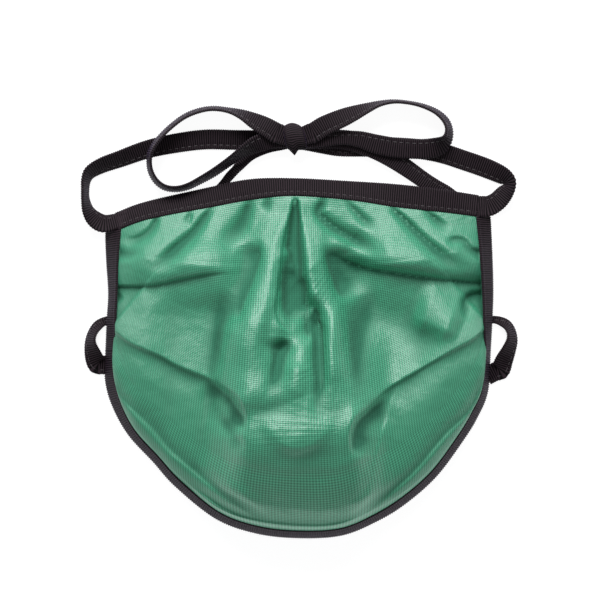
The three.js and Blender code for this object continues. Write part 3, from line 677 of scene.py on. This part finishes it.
# How high the pouch rises over its edges: share of the way down, rise along its middle, rise at its sides.
# The middle goes over to the sides from 24 to 48 mm out, and the sides close to their edges as a round does.
CROWN = [
    (0.0, 0.0, 0.0),
    (0.1, 0.0045, 0.0085),
    (0.2, 0.0098, 0.0185),
    (0.24, 0.0120, 0.0200),
    (0.3, 0.0150, 0.0185),
    (0.38, 0.0192, 0.0162),
    (0.5, 0.0252, 0.0146),
    (0.64, 0.0308, 0.0150),
    (0.73, 0.0342, 0.0148),
    (0.78, 0.0334, 0.0142),
    (0.83, 0.0296, 0.0134),
    (0.91, 0.0208, 0.0108),
    (0.97, 0.0100, 0.0060),
    (1.0, 0.0, 0.0),
]
SIDE_START = 0.024
SIDE_END = 0.048
SIDE_ROUNDNESS = 2.3
SIDE_FULLNESS = 0.85

# The lips of the side pleats that have a sharp crease just under them.
UPPER_LEFT_LIP = [(-0.095, 0.0353), (-0.0743, 0.036), (-0.0615, 0.0385), (-0.0488, 0.041), (-0.0393, 0.0418),
                  (-0.029, 0.0412)]
LOWER_LEFT_LIP = [(-0.095, 0.015), (-0.0858, 0.0078), (-0.0775, 0.004), (-0.0693, 0.0005), (-0.0615, -0.004),
                  (-0.0488, -0.0092), (-0.0343, -0.015), (-0.029, -0.02), (-0.0245, -0.0303)]
LOWER_RIGHT_LIP = [(0.096, 0.017), (0.087, 0.0092), (0.0778, 0.0042), (0.066, -0.0025), (0.0568, -0.008),
                   (0.0443, -0.0155), (0.0358, -0.0225), (0.029, -0.027), (0.0253, -0.033), (0.0262, -0.048)]


def just_under(lip):
    """The line of a crease that runs 0.3 mm under a lip."""
    return [(x, y - CREASE_DROP) for x, y in lip]


# Each fold: its line on the cloth seen from above, how far it stands up (or is pressed in, below zero) at
# the line's start and end, its spread to the left there, its spread to the right, the shares of the line
# over which it fades in and out, and the shapes of its left and right side, unless both are soft.
# A pleat's lip spreads far to one side and ends abruptly on the other.
FOLDS = [
    # Centre box pleat: its two lips, the sunk face between them, and the creases on that face.
    ([(-0.0022, 0.08), (-0.004, 0.0745), (-0.0062, 0.068), (-0.0086, 0.0585), (-0.0108, 0.04),
     (-0.0126, 0.026), (-0.0114, 0.019), (-0.009, 0.015), (-0.004, 0.0118)], (0.001, 0.0034),
     (0.0004, 0.0009), (0.0045, 0.006), (0.03, 0.12)),
    ([(-0.0014, 0.08), (0.0, 0.073), (0.00125, 0.066), (0.00225, 0.057), (0.0041, 0.0385), (0.0053, 0.0265),
     (0.0057, 0.016), (0.005, 0.003)], (0.001, 0.0032), (0.0045, 0.0055), (0.0004, 0.0009), (0.03, 0.25)),
    ([(-0.0018, 0.08), (-0.0026, 0.065), (-0.0032, 0.05), (-0.0036, 0.034), (-0.003, 0.02),
     (-0.002, 0.008)], (-0.0036, -0.012), (0.0014, 0.0088), (0.0014, 0.008), (0.03, 0.36), (3, 3)),
    ([(-0.0066, 0.056), (-0.0046, 0.048), (-0.0016, 0.04)], (0.003, 0.0024), (0.0018, 0.002),
     (0.003, 0.0034), (0.3, 0.4)),
    ([(-0.01, 0.037), (-0.0102, 0.029), (-0.008, 0.019), (-0.0045, 0.014)], (0.0014, 0.002), (0.003, 0.003),
     (0.0026, 0.0026), (0.3, 0.3)),
    ([(0.001, 0.042), (0.003, 0.033), (0.0044, 0.023)], (-0.0016, -0.003), (0.002, 0.0024), (0.0034, 0.004),
     (0.3, 0.2)),
    # The full ridges on both sides of it, and the round end under them.
    ([(-0.008, 0.076), (-0.015, 0.0585), (-0.0172, 0.045), (-0.02, 0.0285), (-0.0238, 0.013),
     (-0.0262, 0.0), (-0.029, -0.009)], (0.001, 0.0094), (0.005, 0.0075), (0.007, 0.011), (0.15, 0.35),
     (3, 3)),
    ([(0.003, 0.074), (0.0075, 0.056), (0.0095, 0.04), (0.0125, 0.0285), (0.0165, 0.014), (0.0185, -0.01),
     (0.0158, -0.028)], (0.001, 0.0074), (0.0055, 0.0085), (0.0055, 0.006), (0.15, 0.25), (3, 3)),
    ([(-0.02, -0.024), (-0.014, -0.034), (-0.008, -0.041), (0.0, -0.0435), (0.008, -0.04), (0.013, -0.033),
     (0.0158, -0.024)], (0.0018, 0.0018), (0.009, 0.009), (0.0034, 0.0034), (0.3, 0.3)),
    ([(-0.0014, 0.0), (-0.002, -0.016), (-0.001, -0.03)], (0.0026, 0.0016), (0.004, 0.006), (0.004, 0.006),
     (0.2, 0.5)),
    # Hollows under the box pleat.
    ([(-0.0092, 0.011), (-0.0098, 0.005), (-0.0108, -0.002), (-0.0135, -0.012), (-0.0185, -0.0225)],
     (-0.008, -0.0034), (0.0062, 0.005), (0.005, 0.003), (0.2, 0.55), (1.6, 1.6)),
    ([(0.006, 0.033), (0.0088, 0.018), (0.0098, 0.004), (0.0098, -0.01), (0.0086, -0.022),
     (0.0076, -0.034)], (-0.0112, -0.004), (0.004, 0.0036), (0.0056, 0.0044), (0.2, 0.55), (1.6, 1.6)),
    ([(-0.012, 0.006), (-0.004, 0.009), (0.004, 0.014), (0.01, 0.02)], (-0.0022, -0.004), (0.005, 0.005),
     (0.0044, 0.0044), (0.2, 0.2)),
    # Valleys outside the ridges, steep towards the ridge and fading away from it.
    ([(-0.0212, 0.0605), (-0.0207, 0.055), (-0.0214, 0.048), (-0.0238, 0.04), (-0.0276, 0.031),
     (-0.0302, 0.024), (-0.0325, 0.0115)], (-0.005, -0.0056), (0.0022, 0.004), (0.008, 0.011), (0.2, 0.3)),
    ([(0.0136, 0.058), (0.0142, 0.051), (0.016, 0.045), (0.019, 0.0385), (0.0235, 0.027)], (-0.004, -0.006),
     (0.01, 0.011), (0.0022, 0.0036), (0.25, 0.35)),
    # Upper pleats: a lip with the face under it falling away, the right one rolled over.
    (UPPER_LEFT_LIP, (-0.0014, -0.0036), (0.003, 0.006), (0.018, 0.03), (0.02, 0.3), (1, 2)),
    (just_under(UPPER_LEFT_LIP[:5]) + [(-0.031, 0.0412)], (-0.0016, -0.0012), (0.0009, 0.0009),
     (0.006, 0.006), (0.02, 0.3)),
    ([(-0.08, 0.0215), (-0.055, 0.02), (-0.032, 0.017)], (-0.0036, -0.007), (0.012, 0.015), (0.056, 0.056),
     (0.4, 0.2)),
    ([(0.096, 0.0372), (0.0743, 0.0388), (0.0603, 0.0405), (0.0463, 0.0425), (0.0323, 0.045),
     (0.021, 0.0495), (0.015, 0.055)], (-0.0058, -0.0124), (0.02, 0.026), (0.0034, 0.005), (0.02, 0.22),
     (2, 1)),
    ([(0.017, 0.023), (0.0338, 0.018), (0.0533, 0.014), (0.0638, 0.0105), (0.0778, 0.006)],
     (-0.0164, -0.0044), (0.0185, 0.012), (0.056, 0.026), (0.3, 0.3)),
    ([(0.054, 0.0225), (0.067, 0.0175), (0.08, 0.012)], (0.0062, 0.0058), (0.015, 0.015), (0.0062, 0.0056),
     (0.35, 0.3)),
    # Lower pleats: a lip, and the face under it falling away to a deep end near the middle.
    (LOWER_LEFT_LIP, (0.0018, 0.0064), (0.034, 0.04), (0.0034, 0.0086), (0.02, 0.15), (2, 1)),
    ([(-0.048, -0.012), (-0.037, -0.0195), (-0.031, -0.028), (-0.0275, -0.038)], (-0.004, -0.006),
     (0.004, 0.0026), (0.008, 0.008), (0.3, 0.3)),
    ([(-0.0443, -0.02), (-0.0405, -0.0285), (-0.0373, -0.033), (-0.0323, -0.039), (-0.0275, -0.0478)],
     (-0.0022, -0.002), (0.003, 0.003), (0.005, 0.005), (0.3, 0.3)),
    (LOWER_RIGHT_LIP, (0.0018, 0.0064), (0.0034, 0.008), (0.034, 0.04), (0.02, 0.2), (1, 2)),
    ([(0.046, -0.02), (0.035, -0.028), (0.0285, -0.036), (0.0275, -0.05)], (-0.004, -0.006), (0.009, 0.008),
     (0.0034, 0.0022), (0.3, 0.3)),
    (just_under(LOWER_LEFT_LIP[:7]), (-0.0016, -0.0022), (0.0009, 0.0009), (0.007, 0.008), (0.02, 0.3)),
    (just_under(LOWER_RIGHT_LIP[:8]), (-0.0016, -0.0022), (0.007, 0.008), (0.0009, 0.0009), (0.02, 0.3)),
    # Creases that run beside the bottom edge, and the rolled rim.
    ([(-0.056, -0.061), (-0.04, -0.073), (-0.021, -0.0803), (0.0, -0.0828), (0.02, -0.0815),
     (0.036, -0.0755)], (0.0026, 0.0026), (0.0016, 0.0016), (0.0014, 0.0014), (0.2, 0.2)),
    ([(-0.0915, -0.0065), (-0.0883, -0.0145), (-0.0843, -0.0208), (-0.0693, -0.034), (-0.0598, -0.045),
     (-0.0435, -0.0585), (-0.0263, -0.0705), (-0.0163, -0.079)], (-0.0012, -0.0012), (0.003, 0.003),
     (0.0016, 0.0016), (0.1, 0.2)),
    ([(0.092, -0.0045), (0.087, -0.0155), (0.0808, -0.0255), (0.0708, -0.0355), (0.0568, -0.0505),
     (0.0393, -0.0675), (0.0295, -0.0765)], (-0.0014, -0.0014), (0.0016, 0.0016), (0.003, 0.003),
     (0.1, 0.2)),
    ([(-0.042, -0.057), (-0.028, -0.064), (-0.014, -0.072)], (0.0012, 0.0012), (0.003, 0.003),
     (0.0018, 0.0018), (0.4, 0.4)),
    ([(0.04, -0.059), (0.03, -0.068), (0.023, -0.076)], (0.001, 0.001), (0.0018, 0.0018), (0.003, 0.003),
     (0.4, 0.4)),
    # Gathers below the top binding, left of the centre.
    ([(-0.07, 0.074), (-0.0735, 0.065), (-0.0793, 0.06), (-0.09, 0.057)], (-0.0012, -0.0036),
     (0.0012, 0.004), (0.0012, 0.0026), (0.02, 0.4)),
    ([(-0.054, 0.076), (-0.0563, 0.0635)], (-0.001, -0.002), (0.001, 0.0018), (0.001, 0.0026), (0.02, 0.6)),
    ([(-0.043, 0.079), (-0.0455, 0.073), (-0.0525, 0.063), (-0.062, 0.054), (-0.07, 0.0465),
     (-0.075, 0.041)], (-0.0014, -0.0072), (0.0014, 0.0056), (0.0012, 0.004), (0.02, 0.4)),
    ([(-0.0235, 0.082), (-0.0283, 0.068), (-0.0348, 0.06), (-0.0425, 0.053)], (-0.0014, -0.0066),
     (0.0016, 0.0064), (0.0016, 0.006), (0.02, 0.6)),
    ([(-0.015, 0.082), (-0.0172, 0.0715)], (-0.0024, -0.0012), (0.0018, 0.0018), (0.0022, 0.0022),
     (0.1, 0.5)),
    ([(-0.093, 0.052), (-0.085, 0.0515), (-0.077, 0.054)], (-0.0028, -0.002), (0.0034, 0.0038),
     (0.0024, 0.003), (0.05, 0.5)),
    ([(-0.093, 0.03), (-0.0875, 0.031)], (-0.0024, -0.0014), (0.0022, 0.0022), (0.0022, 0.0022),
     (0.05, 0.6)),
    # Gathers below the top binding, right of the centre.
    ([(0.0125, 0.083), (0.011, 0.077), (0.0096, 0.072), (0.015, 0.0665), (0.0228, 0.0615), (0.0325, 0.0565),
     (0.04, 0.053), (0.045, 0.051)], (-0.002, -0.0066), (0.002, 0.0052), (0.0016, 0.0044), (0.02, 0.4)),
    ([(0.022, 0.08), (0.031, 0.07), (0.04, 0.062)], (-0.001, -0.0034), (0.0012, 0.003), (0.0012, 0.0034),
     (0.02, 0.5)),
    ([(0.044, 0.08), (0.047, 0.0745), (0.054, 0.067), (0.062, 0.059), (0.07, 0.052), (0.077, 0.0468),
     (0.085, 0.044)], (-0.0016, -0.0064), (0.0012, 0.0038), (0.0014, 0.0052), (0.02, 0.4)),
    ([(0.06, 0.077), (0.068, 0.069), (0.076, 0.063)], (-0.001, -0.0034), (0.001, 0.0024), (0.0012, 0.0034),
     (0.02, 0.5)),
    ([(0.0725, 0.0565), (0.0775, 0.059), (0.082, 0.058), (0.0855, 0.054), (0.092, 0.052)],
     (-0.002, -0.0026), (0.0018, 0.0018), (0.0032, 0.0032), (0.2, 0.1)),
    ([(0.093, 0.032), (0.086, 0.031), (0.0826, 0.028), (0.0825, 0.023), (0.086, 0.018)], (-0.0032, -0.0022),
     (0.006, 0.005), (0.002, 0.002), (0.1, 0.4)),
]


def eased(share):
    """The share, kept from 0 to 1 and eased in and out: s^2 * (3 - 2 s)."""
    share = np.clip(share, 0, 1)
    return share * share * (3 - 2 * share)


def fold_height(x, y, line, rise, left, right, fade, shapes=(2, 2)):
    """Height of one fold: rise * exp(-(distance / spread)^shape) from the nearest point of its line, where
    rise and spread change evenly along the line, and the rise is eased in and out over the line's ends.
    Shape is 2 for a soft side, 1 for one that is steepest at the line, and more for a flat one with steep
    walls."""
    last = len(line) - 1
    line = through_rows(line, np.linspace(0, last, FOLD_LINE_STEPS * last + 1))
    run = run_of(line) / run_of(line)[-1]
    nearest = np.full(x.shape, np.inf)
    place = np.zeros(x.shape)
    side = np.ones(x.shape)
    for start, end, start_run, end_run in zip(line[:-1], line[1:], run[:-1], run[1:]):
        step = end - start
        off_x, off_y = x - start[0], y - start[1]
        share = np.clip((off_x * step[0] + off_y * step[1]) / step.dot(step), 0, 1)
        distance = np.hypot(off_x - share * step[0], off_y - share * step[1])
        closer = distance < nearest
        nearest = np.where(closer, distance, nearest)
        place = np.where(closer, start_run + share * (end_run - start_run), place)
        side = np.where(closer, np.sign(step[0] * off_y - step[1] * off_x), side)
    height, left_spread, right_spread = (np.interp(place, [0, 1], ends) for ends in (rise, left, right))
    spread = np.where(side > 0, left_spread, right_spread)
    shape = np.where(side > 0, *shapes)
    fading_in = np.clip((place + FOLD_END_SHARE) / fade[0], 0, 1)
    fading_out = np.clip((1 + FOLD_END_SHARE - place) / fade[1], 0, 1)
    return height * eased(fading_in * fading_out) * np.exp(-((nearest / spread) ** shape))


def edge_line(rows, shares):
    """Points of the cloth's edge, tucked into the binding, at even shares of its length."""
    fine = through_rows(rows, np.linspace(0, len(rows) - 1, FINE_STEPS * (len(rows) - 1) + 1))
    edge = fine[:, :3] + unit(fine[:, 3:] - fine[:, :3]) * TUCK
    run = run_of(edge)
    return np.stack([np.interp(shares * run[-1], run, edge[:, k]) for k in range(3)], -1)


def meeting(edge, first, last, shares):
    """The edge with its ends drawn to the given points, evenly less over its first and last 6%."""
    near_first = np.clip(1 - shares / CORNER_SHARE, 0, 1)[:, None]
    near_last = np.clip(1 - (1 - shares) / CORNER_SHARE, 0, 1)[:, None]
    return edge + near_first * (first - edge[0]) + near_last * (last - edge[-1])


def softened(heights):
    """The heights averaged three times over each point's neighbours within the reach, both ways."""
    width = 2 * HOLLOW_REACH + 1
    for axis in (0, 1, 0, 1, 0, 1):
        ends = [(0, 0), (0, 0)]
        ends[axis] = (HOLLOW_REACH + 1, HOLLOW_REACH)
        total = np.cumsum(np.pad(heights, ends, mode="edge"), axis=axis)
        count = total.shape[axis]
        upper = np.take(total, range(width, count), axis)
        lower = np.take(total, range(0, count - width), axis)
        heights = (upper - lower) / width
    return heights


def cloth_surface():
    """Outer face of the cloth on a grid. It is the patch between its four edges: the top and bottom edges
    blended by share down, plus the left and right ones blended by share across, less the blend of the four
    corners. On it stand the crown, rise(down) * (1 - |2 across - 1|^2.3)^0.85, and the folds. Near the
    bottom it swells outwards over the binding by 3.4 mm * sin(pi * share of the last 18% down), a little
    more and less by turns along the edge. The hollows are how far the folds lie below their own average
    nearby."""
    across = np.linspace(0, 1, CLOTH_COLUMNS + 1)
    down = np.linspace(0, 1, CLOTH_ROWS + 1)
    top, bottom = edge_line(TOP_EDGE, across), edge_line(BOTTOM_EDGE, across)
    left = meeting(edge_line(LEFT_EDGE, down), top[0], bottom[0], down)
    right = meeting(edge_line(RIGHT_EDGE, down), top[-1], bottom[-1], down)
    u, v = across[None, :, None], down[:, None, None]
    both_ways = (1 - v) * top[None] + v * bottom[None] + (1 - u) * left[:, None] + u * right[:, None]
    top_corners = (1 - u) * top[0] + u * top[-1]
    bottom_corners = (1 - u) * bottom[0] + u * bottom[-1]
    patch = both_ways - (1 - v) * top_corners - v * bottom_corners
    x, y = patch[..., 0], patch[..., 1]
    u, v = u[..., 0], v[..., 0]

    crown = np.array(CROWN)
    rises = through_rows(crown, np.interp(v[:, 0], crown[:, 0], np.arange(len(crown))))
    sideways = eased((np.abs(x) - SIDE_START) / (SIDE_END - SIDE_START))
    rise = rises[:, 1:2] * (1 - sideways) + rises[:, 2:3] * sideways
    fullness = (1 - np.abs(2 * u - 1) ** SIDE_ROUNDNESS) ** SIDE_FULLNESS
    margin = np.minimum(np.minimum(u, 1 - u) * CLOTH_WIDE, (1 - v) * CLOTH_LONG) / EDGE_FADE
    inside = eased(np.minimum(margin, v * CLOTH_LONG / TOP_FADE))
    folds = sum(fold_height(x, y, *fold) for fold in FOLDS) * inside
    patch[..., 2] += rise * fullness + folds
    # The hollows mark where the cloth's colour is painted darker as shade in the folds.
    hollow_shade = np.clip((softened(folds) - folds) / HOLLOW_DEPTH, 0, 1)

    below = np.clip((v - OVERHANG_START) / (1 - OVERHANG_START), 0, 1)
    swell = OVERHANG * np.sin(math.pi * below) * fullness**0.5
    swell = swell * (1 + OVERHANG_WAVE_SHARE * np.sin(2 * math.pi * OVERHANG_WAVES * u))
    patch[..., :2] += unit(np.stack([x, y], -1)) * swell[..., None]
    return patch, np.broadcast_to(u * WEAVE_WIDE, x.shape), np.broadcast_to(v * WEAVE_LONG, x.shape), hollow_shade


def cloth_piece(name, material):
    """The cloth as a closed mesh: the outer face on the fine grid, the inner face one thickness below it on
    every fourth point, and a strip that joins them round the border."""
    outer, along, across, hollow_shade = cloth_surface()
    normal = unit(np.cross(np.gradient(outer, axis=1), -np.gradient(outer, axis=0)))
    inner = (outer - normal * CLOTH_THICKNESS)[::INNER_STEP, ::INNER_STEP]
    number = np.arange(outer.shape[0] * outer.shape[1]).reshape(outer.shape[:2])
    inner_number = number.size + np.arange(inner.shape[0] * inner.shape[1]).reshape(inner.shape[:2])
    faces = []
    for grid, turn in ((number, 1), (inner_number, -1)):
        quads = np.stack([grid[:-1, :-1], grid[1:, :-1], grid[1:, 1:], grid[:-1, 1:]], -1).reshape(-1, 4)
        faces.append(quads[:, ::turn])
    for fine, coarse, turn in (
        (number[0], inner_number[0], 1),
        (number[-1], inner_number[-1], -1),
        (number[:, 0], inner_number[:, 0], -1),
        (number[:, -1], inner_number[:, -1], 1),
    ):
        first, second = fine[:-1], fine[1:]
        near, far = np.repeat(coarse[:-1], INNER_STEP), np.repeat(coarse[1:], INNER_STEP)
        step = np.arange(len(first)) % INNER_STEP
        anchor = np.where(step >= INNER_STEP // 2, far, near)
        other = np.where(step == INNER_STEP // 2, near, anchor)
        strip = np.stack([first, second, anchor, other], -1)
        faces.append(strip[:, ::turn])
    points = np.vstack([outer.reshape(-1, 3), inner.reshape(-1, 3)])
    outer_marks = np.stack([along, across], -1)
    marks = np.vstack([outer_marks.reshape(-1, 2), outer_marks[::INNER_STEP, ::INNER_STEP].reshape(-1, 2)])
    piece = put_mesh(name, points, np.concatenate(faces), material, marks)
    hollow_shades = np.concatenate([hollow_shade.ravel(), hollow_shade[::INNER_STEP, ::INNER_STEP].ravel()])
    piece.data.attributes.new("hollow_shade", "FLOAT", "POINT").data.foreach_set("value", hollow_shades)
    return piece


# Cloth colours: the cloth's own green, painted darker as shade where threads dip and lighter as highlight
# where they cross.
CLOTH_SHADED_GREEN = (0.008, 0.150, 0.078)
CLOTH_LIT_GREEN = (0.106, 0.590, 0.345)
# Painted shade: the darker green mixed into the cloth's colour in the hollows, and how much of it.
CLOTH_HOLLOW_SHADE = (0.003, 0.115, 0.062)
PAINTED_SHADE_SHARE = 0.72
GLOSS_ROUGHNESS = 0.43
HOLLOW_ROUGHNESS = 0.95
RUMPLE_SCALE = 110
RUMPLE_DEPTH = 0.0008
CLOTH_ALONG_PITCH = 0.00112
CLOTH_ACROSS_PITCH = 0.00108
CLOTH_THREAD_DEPTH = 0.00013


def green_satin_cloth():
    """Green polyester cloth, broad soft gloss; painted highlight where threads lie on top, shade between.
    Where it lies in a hollow its colour is painted darker as shade, and it is duller. A fine rumple and the
    weave are bumps."""
    material, nodes, links, shader = new_material(
        "green_satin_cloth", roughness=GLOSS_ROUGHNESS, specular=1.0, sheen=0.03, sheen_roughness=0.35,
        sheen_tint=(0.75, 1.0, 0.9),
    )
    marks, weave = threads_on(nodes, links, CLOTH_ALONG_PITCH, CLOTH_ACROSS_PITCH)
    ramp = ramp_between(nodes, links, weave.outputs["Height"], 0.0, CLOTH_SHADED_GREEN, 1.0, CLOTH_LIT_GREEN)
    # Painted shade: the colour is mixed towards a darker green where the cloth lies in a hollow.
    hollow_shade = nodes.new("ShaderNodeAttribute")
    hollow_shade.attribute_name = "hollow_shade"
    painted_shade_mix = nodes.new("ShaderNodeMix")
    painted_shade_mix.data_type = "RGBA"
    painted_shade_mix.inputs[7].default_value = (*CLOTH_HOLLOW_SHADE, 1)
    depth = worked_out(nodes, links, "MULTIPLY", hollow_shade.outputs["Fac"], PAINTED_SHADE_SHARE)
    links.new(depth, painted_shade_mix.inputs[0])
    links.new(ramp.outputs["Color"], painted_shade_mix.inputs[6])
    links.new(painted_shade_mix.outputs[2], shader.inputs["Base Color"])
    dulled = nodes.new("ShaderNodeMapRange")
    dulled.inputs["To Min"].default_value = GLOSS_ROUGHNESS
    dulled.inputs["To Max"].default_value = HOLLOW_ROUGHNESS
    links.new(hollow_shade.outputs["Fac"], dulled.inputs["Value"])
    links.new(dulled.outputs["Result"], shader.inputs["Roughness"])
    place = nodes.new("ShaderNodeTexCoord")
    rumple = nodes.new("ShaderNodeTexNoise")
    rumple.inputs["Scale"].default_value = RUMPLE_SCALE
    rumple.inputs["Detail"].default_value = 3
    links.new(place.outputs["Object"], rumple.inputs["Vector"])
    rumpled = bumped(nodes, links, rumple.outputs["Fac"], RUMPLE_DEPTH, 1.0)
    bump = bumped(nodes, links, weave.outputs["Height"], CLOTH_THREAD_DEPTH, 0.8)
    links.new(rumpled.outputs["Normal"], bump.inputs["Normal"])
    links.new(bump.outputs["Normal"], shader.inputs["Normal"])
    return material


cloth = cloth_piece("gathered_cloth", green_satin_cloth())
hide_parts("mask_body")

# Stitches. One row of dark sewing thread along each tape near its open edge, which holds the tape shut and
# the cloth in it. Each stitch is a short straight piece that sinks in at both ends.
STITCH_PITCH = 0.0033
STITCH_LENGTH = 0.0023
STITCH_RADIUS = 0.00020
STITCH_SINK = 0.00008
STITCH_END_SHARE = 0.04
STITCH_RINGS = 5
STITCH_SIDES = 6


def stitch_row(frame_of_tape, seam_side, start, end):
    """Stitches along a tape's seam, each a thin rod whose radius is R * sqrt(1 - |s|^3) at share s of its
    length, from -1 to 1. They lie on the face of the tape that is turned up, and its first and last stretch,
    as long as start and end, have none. Gives rods x rings x sides points."""
    middle, across, normal, half = frame_of_tape
    run = run_of(middle)
    places = np.arange(start, run[-1] - end, STITCH_PITCH)
    share = np.linspace(-1, 1, STITCH_RINGS)
    angle = (np.arange(STITCH_SIDES) * 2 * math.pi / STITCH_SIDES)[:, None]
    at = places[:, None] + share * STITCH_LENGTH / 2

    def at_rings(values):
        """The values along the tape, taken at each ring of each stitch."""
        return np.stack([np.interp(at, run, values[:, k]) for k in range(3)], -1)[:, :, None]

    seam = middle + across * (seam_side * (half - SEAM_INSET))[:, None]
    seam = seam + normal * (TAPE_THICKNESS / 2 - STITCH_SINK)
    radius = STITCH_RADIUS * np.sqrt(np.maximum(1 - np.abs(share) ** 3, STITCH_END_SHARE))[:, None, None]
    return at_rings(seam) + radius * (np.cos(angle) * at_rings(across) + np.sin(angle) * at_rings(normal))


def stitches_piece(name, rows, material):
    """All rows of stitches as one mesh of rods with closed ends."""
    rods = np.concatenate(rows)
    ends = rods[:, [0, -1]].mean(axis=2)
    points = np.concatenate([rods.reshape(len(rods), -1, 3), ends], axis=1)
    one = round_and_along(STITCH_RINGS, STITCH_SIDES)
    faces = (one[None] + (np.arange(len(rods)) * points.shape[1])[:, None, None]).reshape(-1, 4)
    return put_mesh(name, points.reshape(-1, 3), faces, material)


THREAD_DEEP = (0.045, 0.038, 0.042)
THREAD_BRIGHT = (0.12, 0.105, 0.115)
THREAD_NOISE_SCALE = 900


def grey_sewing_thread():
    """Black sewing thread, a little shinier and greyer than the tape, uneven along its length."""
    material, nodes, links, shader = new_material(
        "grey_sewing_thread", roughness=0.5, specular=0.5, sheen=0.2, sheen_roughness=0.4,
        sheen_tint=(0.8, 0.75, 0.9),
    )
    place = nodes.new("ShaderNodeTexCoord")
    noise = nodes.new("ShaderNodeTexNoise")
    noise.inputs["Scale"].default_value = THREAD_NOISE_SCALE
    links.new(place.outputs["Object"], noise.inputs["Vector"])
    ramp = ramp_between(nodes, links, noise.outputs["Fac"], 0.3, THREAD_DEEP, 0.7, THREAD_BRIGHT)
    links.new(ramp.outputs["Color"], shader.inputs["Base Color"])
    return material


# Each row: the tape, and how much of its start and end is left free of stitches.
SEWN_TAPES = [
    (upper_ties[0], 0.010, 0.012),
    (upper_ties[1], 0.010, 0.012),
    (bow_loops[0], 0.012, 0.014),
    (bow_loops[1], 0.012, 0.014),
    (bow_tails[1], 0.040, 0.004),
    (lower_tie, 0.004, 0.004),
    (bindings[0], 0.003, 0.003),
]
rows_of_stitches = [stitch_row(*tape[1:], start, end) for tape, start, end in SEWN_TAPES]
stitches = stitches_piece("stitches", rows_of_stitches, grey_sewing_thread())

# Ground. A plain pale sheet under the mask that glows a little, so that the shadows stay as faint as in
# the photograph.
GROUND_HALF_SIZE = 3.0
GROUND_COLOUR = (0.25, 0.25, 0.26)
GROUND_GLOW = 0.93

corner_signs = [(-1, -1), (1, -1), (1, 1), (-1, 1)]
ground_mesh = bpy.data.meshes.new("ground")
ground_mesh.from_pydata([(x * GROUND_HALF_SIZE, y * GROUND_HALF_SIZE, 0) for x, y in corner_signs], [],
                        [(0, 1, 2, 3)])
ground = bpy.data.objects.new("ground", ground_mesh)
bpy.context.collection.objects.link(ground)
white_ground, _, _, ground_shader = new_material(
    "white_ground", roughness=0.9, specular=0.0, sheen=0.0, sheen_roughness=0.5, sheen_tint=(1, 1, 1),
)
ground_shader.inputs["Base Color"].default_value = (*GROUND_COLOUR, 1)
ground_shader.inputs["Emission Color"].default_value = (1, 1, 1, 1)
ground_shader.inputs["Emission Strength"].default_value = GROUND_GLOW
ground_mesh.materials.append(white_ground)

# Light. A broad soft box above and beyond the top edge, a weak low one from the chin side, and an even
# white room. Each row: the box's name, place, width, height and power.
SOFT_BOXES = [
    ("key_box", (-0.1, 1.26, 0.92), 1.0, 0.6, 21.5),
    ("chin_box", (0.0, -1.2, 0.70), 1.2, 0.6, 0.8),
]
ROOM_BRIGHTNESS = 0.24


def soft_box(name, place, width, height, power):
    """Rectangular area light that faces the middle of the mask on the ground."""
    light = bpy.data.lights.new(name, "AREA")
    light.shape = "RECTANGLE"
    light.size = width
    light.size_y = height
    light.energy = power
    box = bpy.data.objects.new(name, light)
    x, y, z = place
    box.location = place
    box.rotation_euler = (math.atan2(math.hypot(x, y), z), 0, math.atan2(x, -y))
    bpy.context.collection.objects.link(box)


for box_row in SOFT_BOXES:
    soft_box(*box_row)

room = bpy.data.worlds.new("white_room")
bpy.context.scene.world = room
room.use_nodes = True
background = room.node_tree.nodes["Background"]
background.inputs["Color"].default_value = (1.0, 1.0, 1.0, 1)
background.inputs["Strength"].default_value = ROOM_BRIGHTNESS
bpy.context.scene.view_settings.view_transform = "Standard"
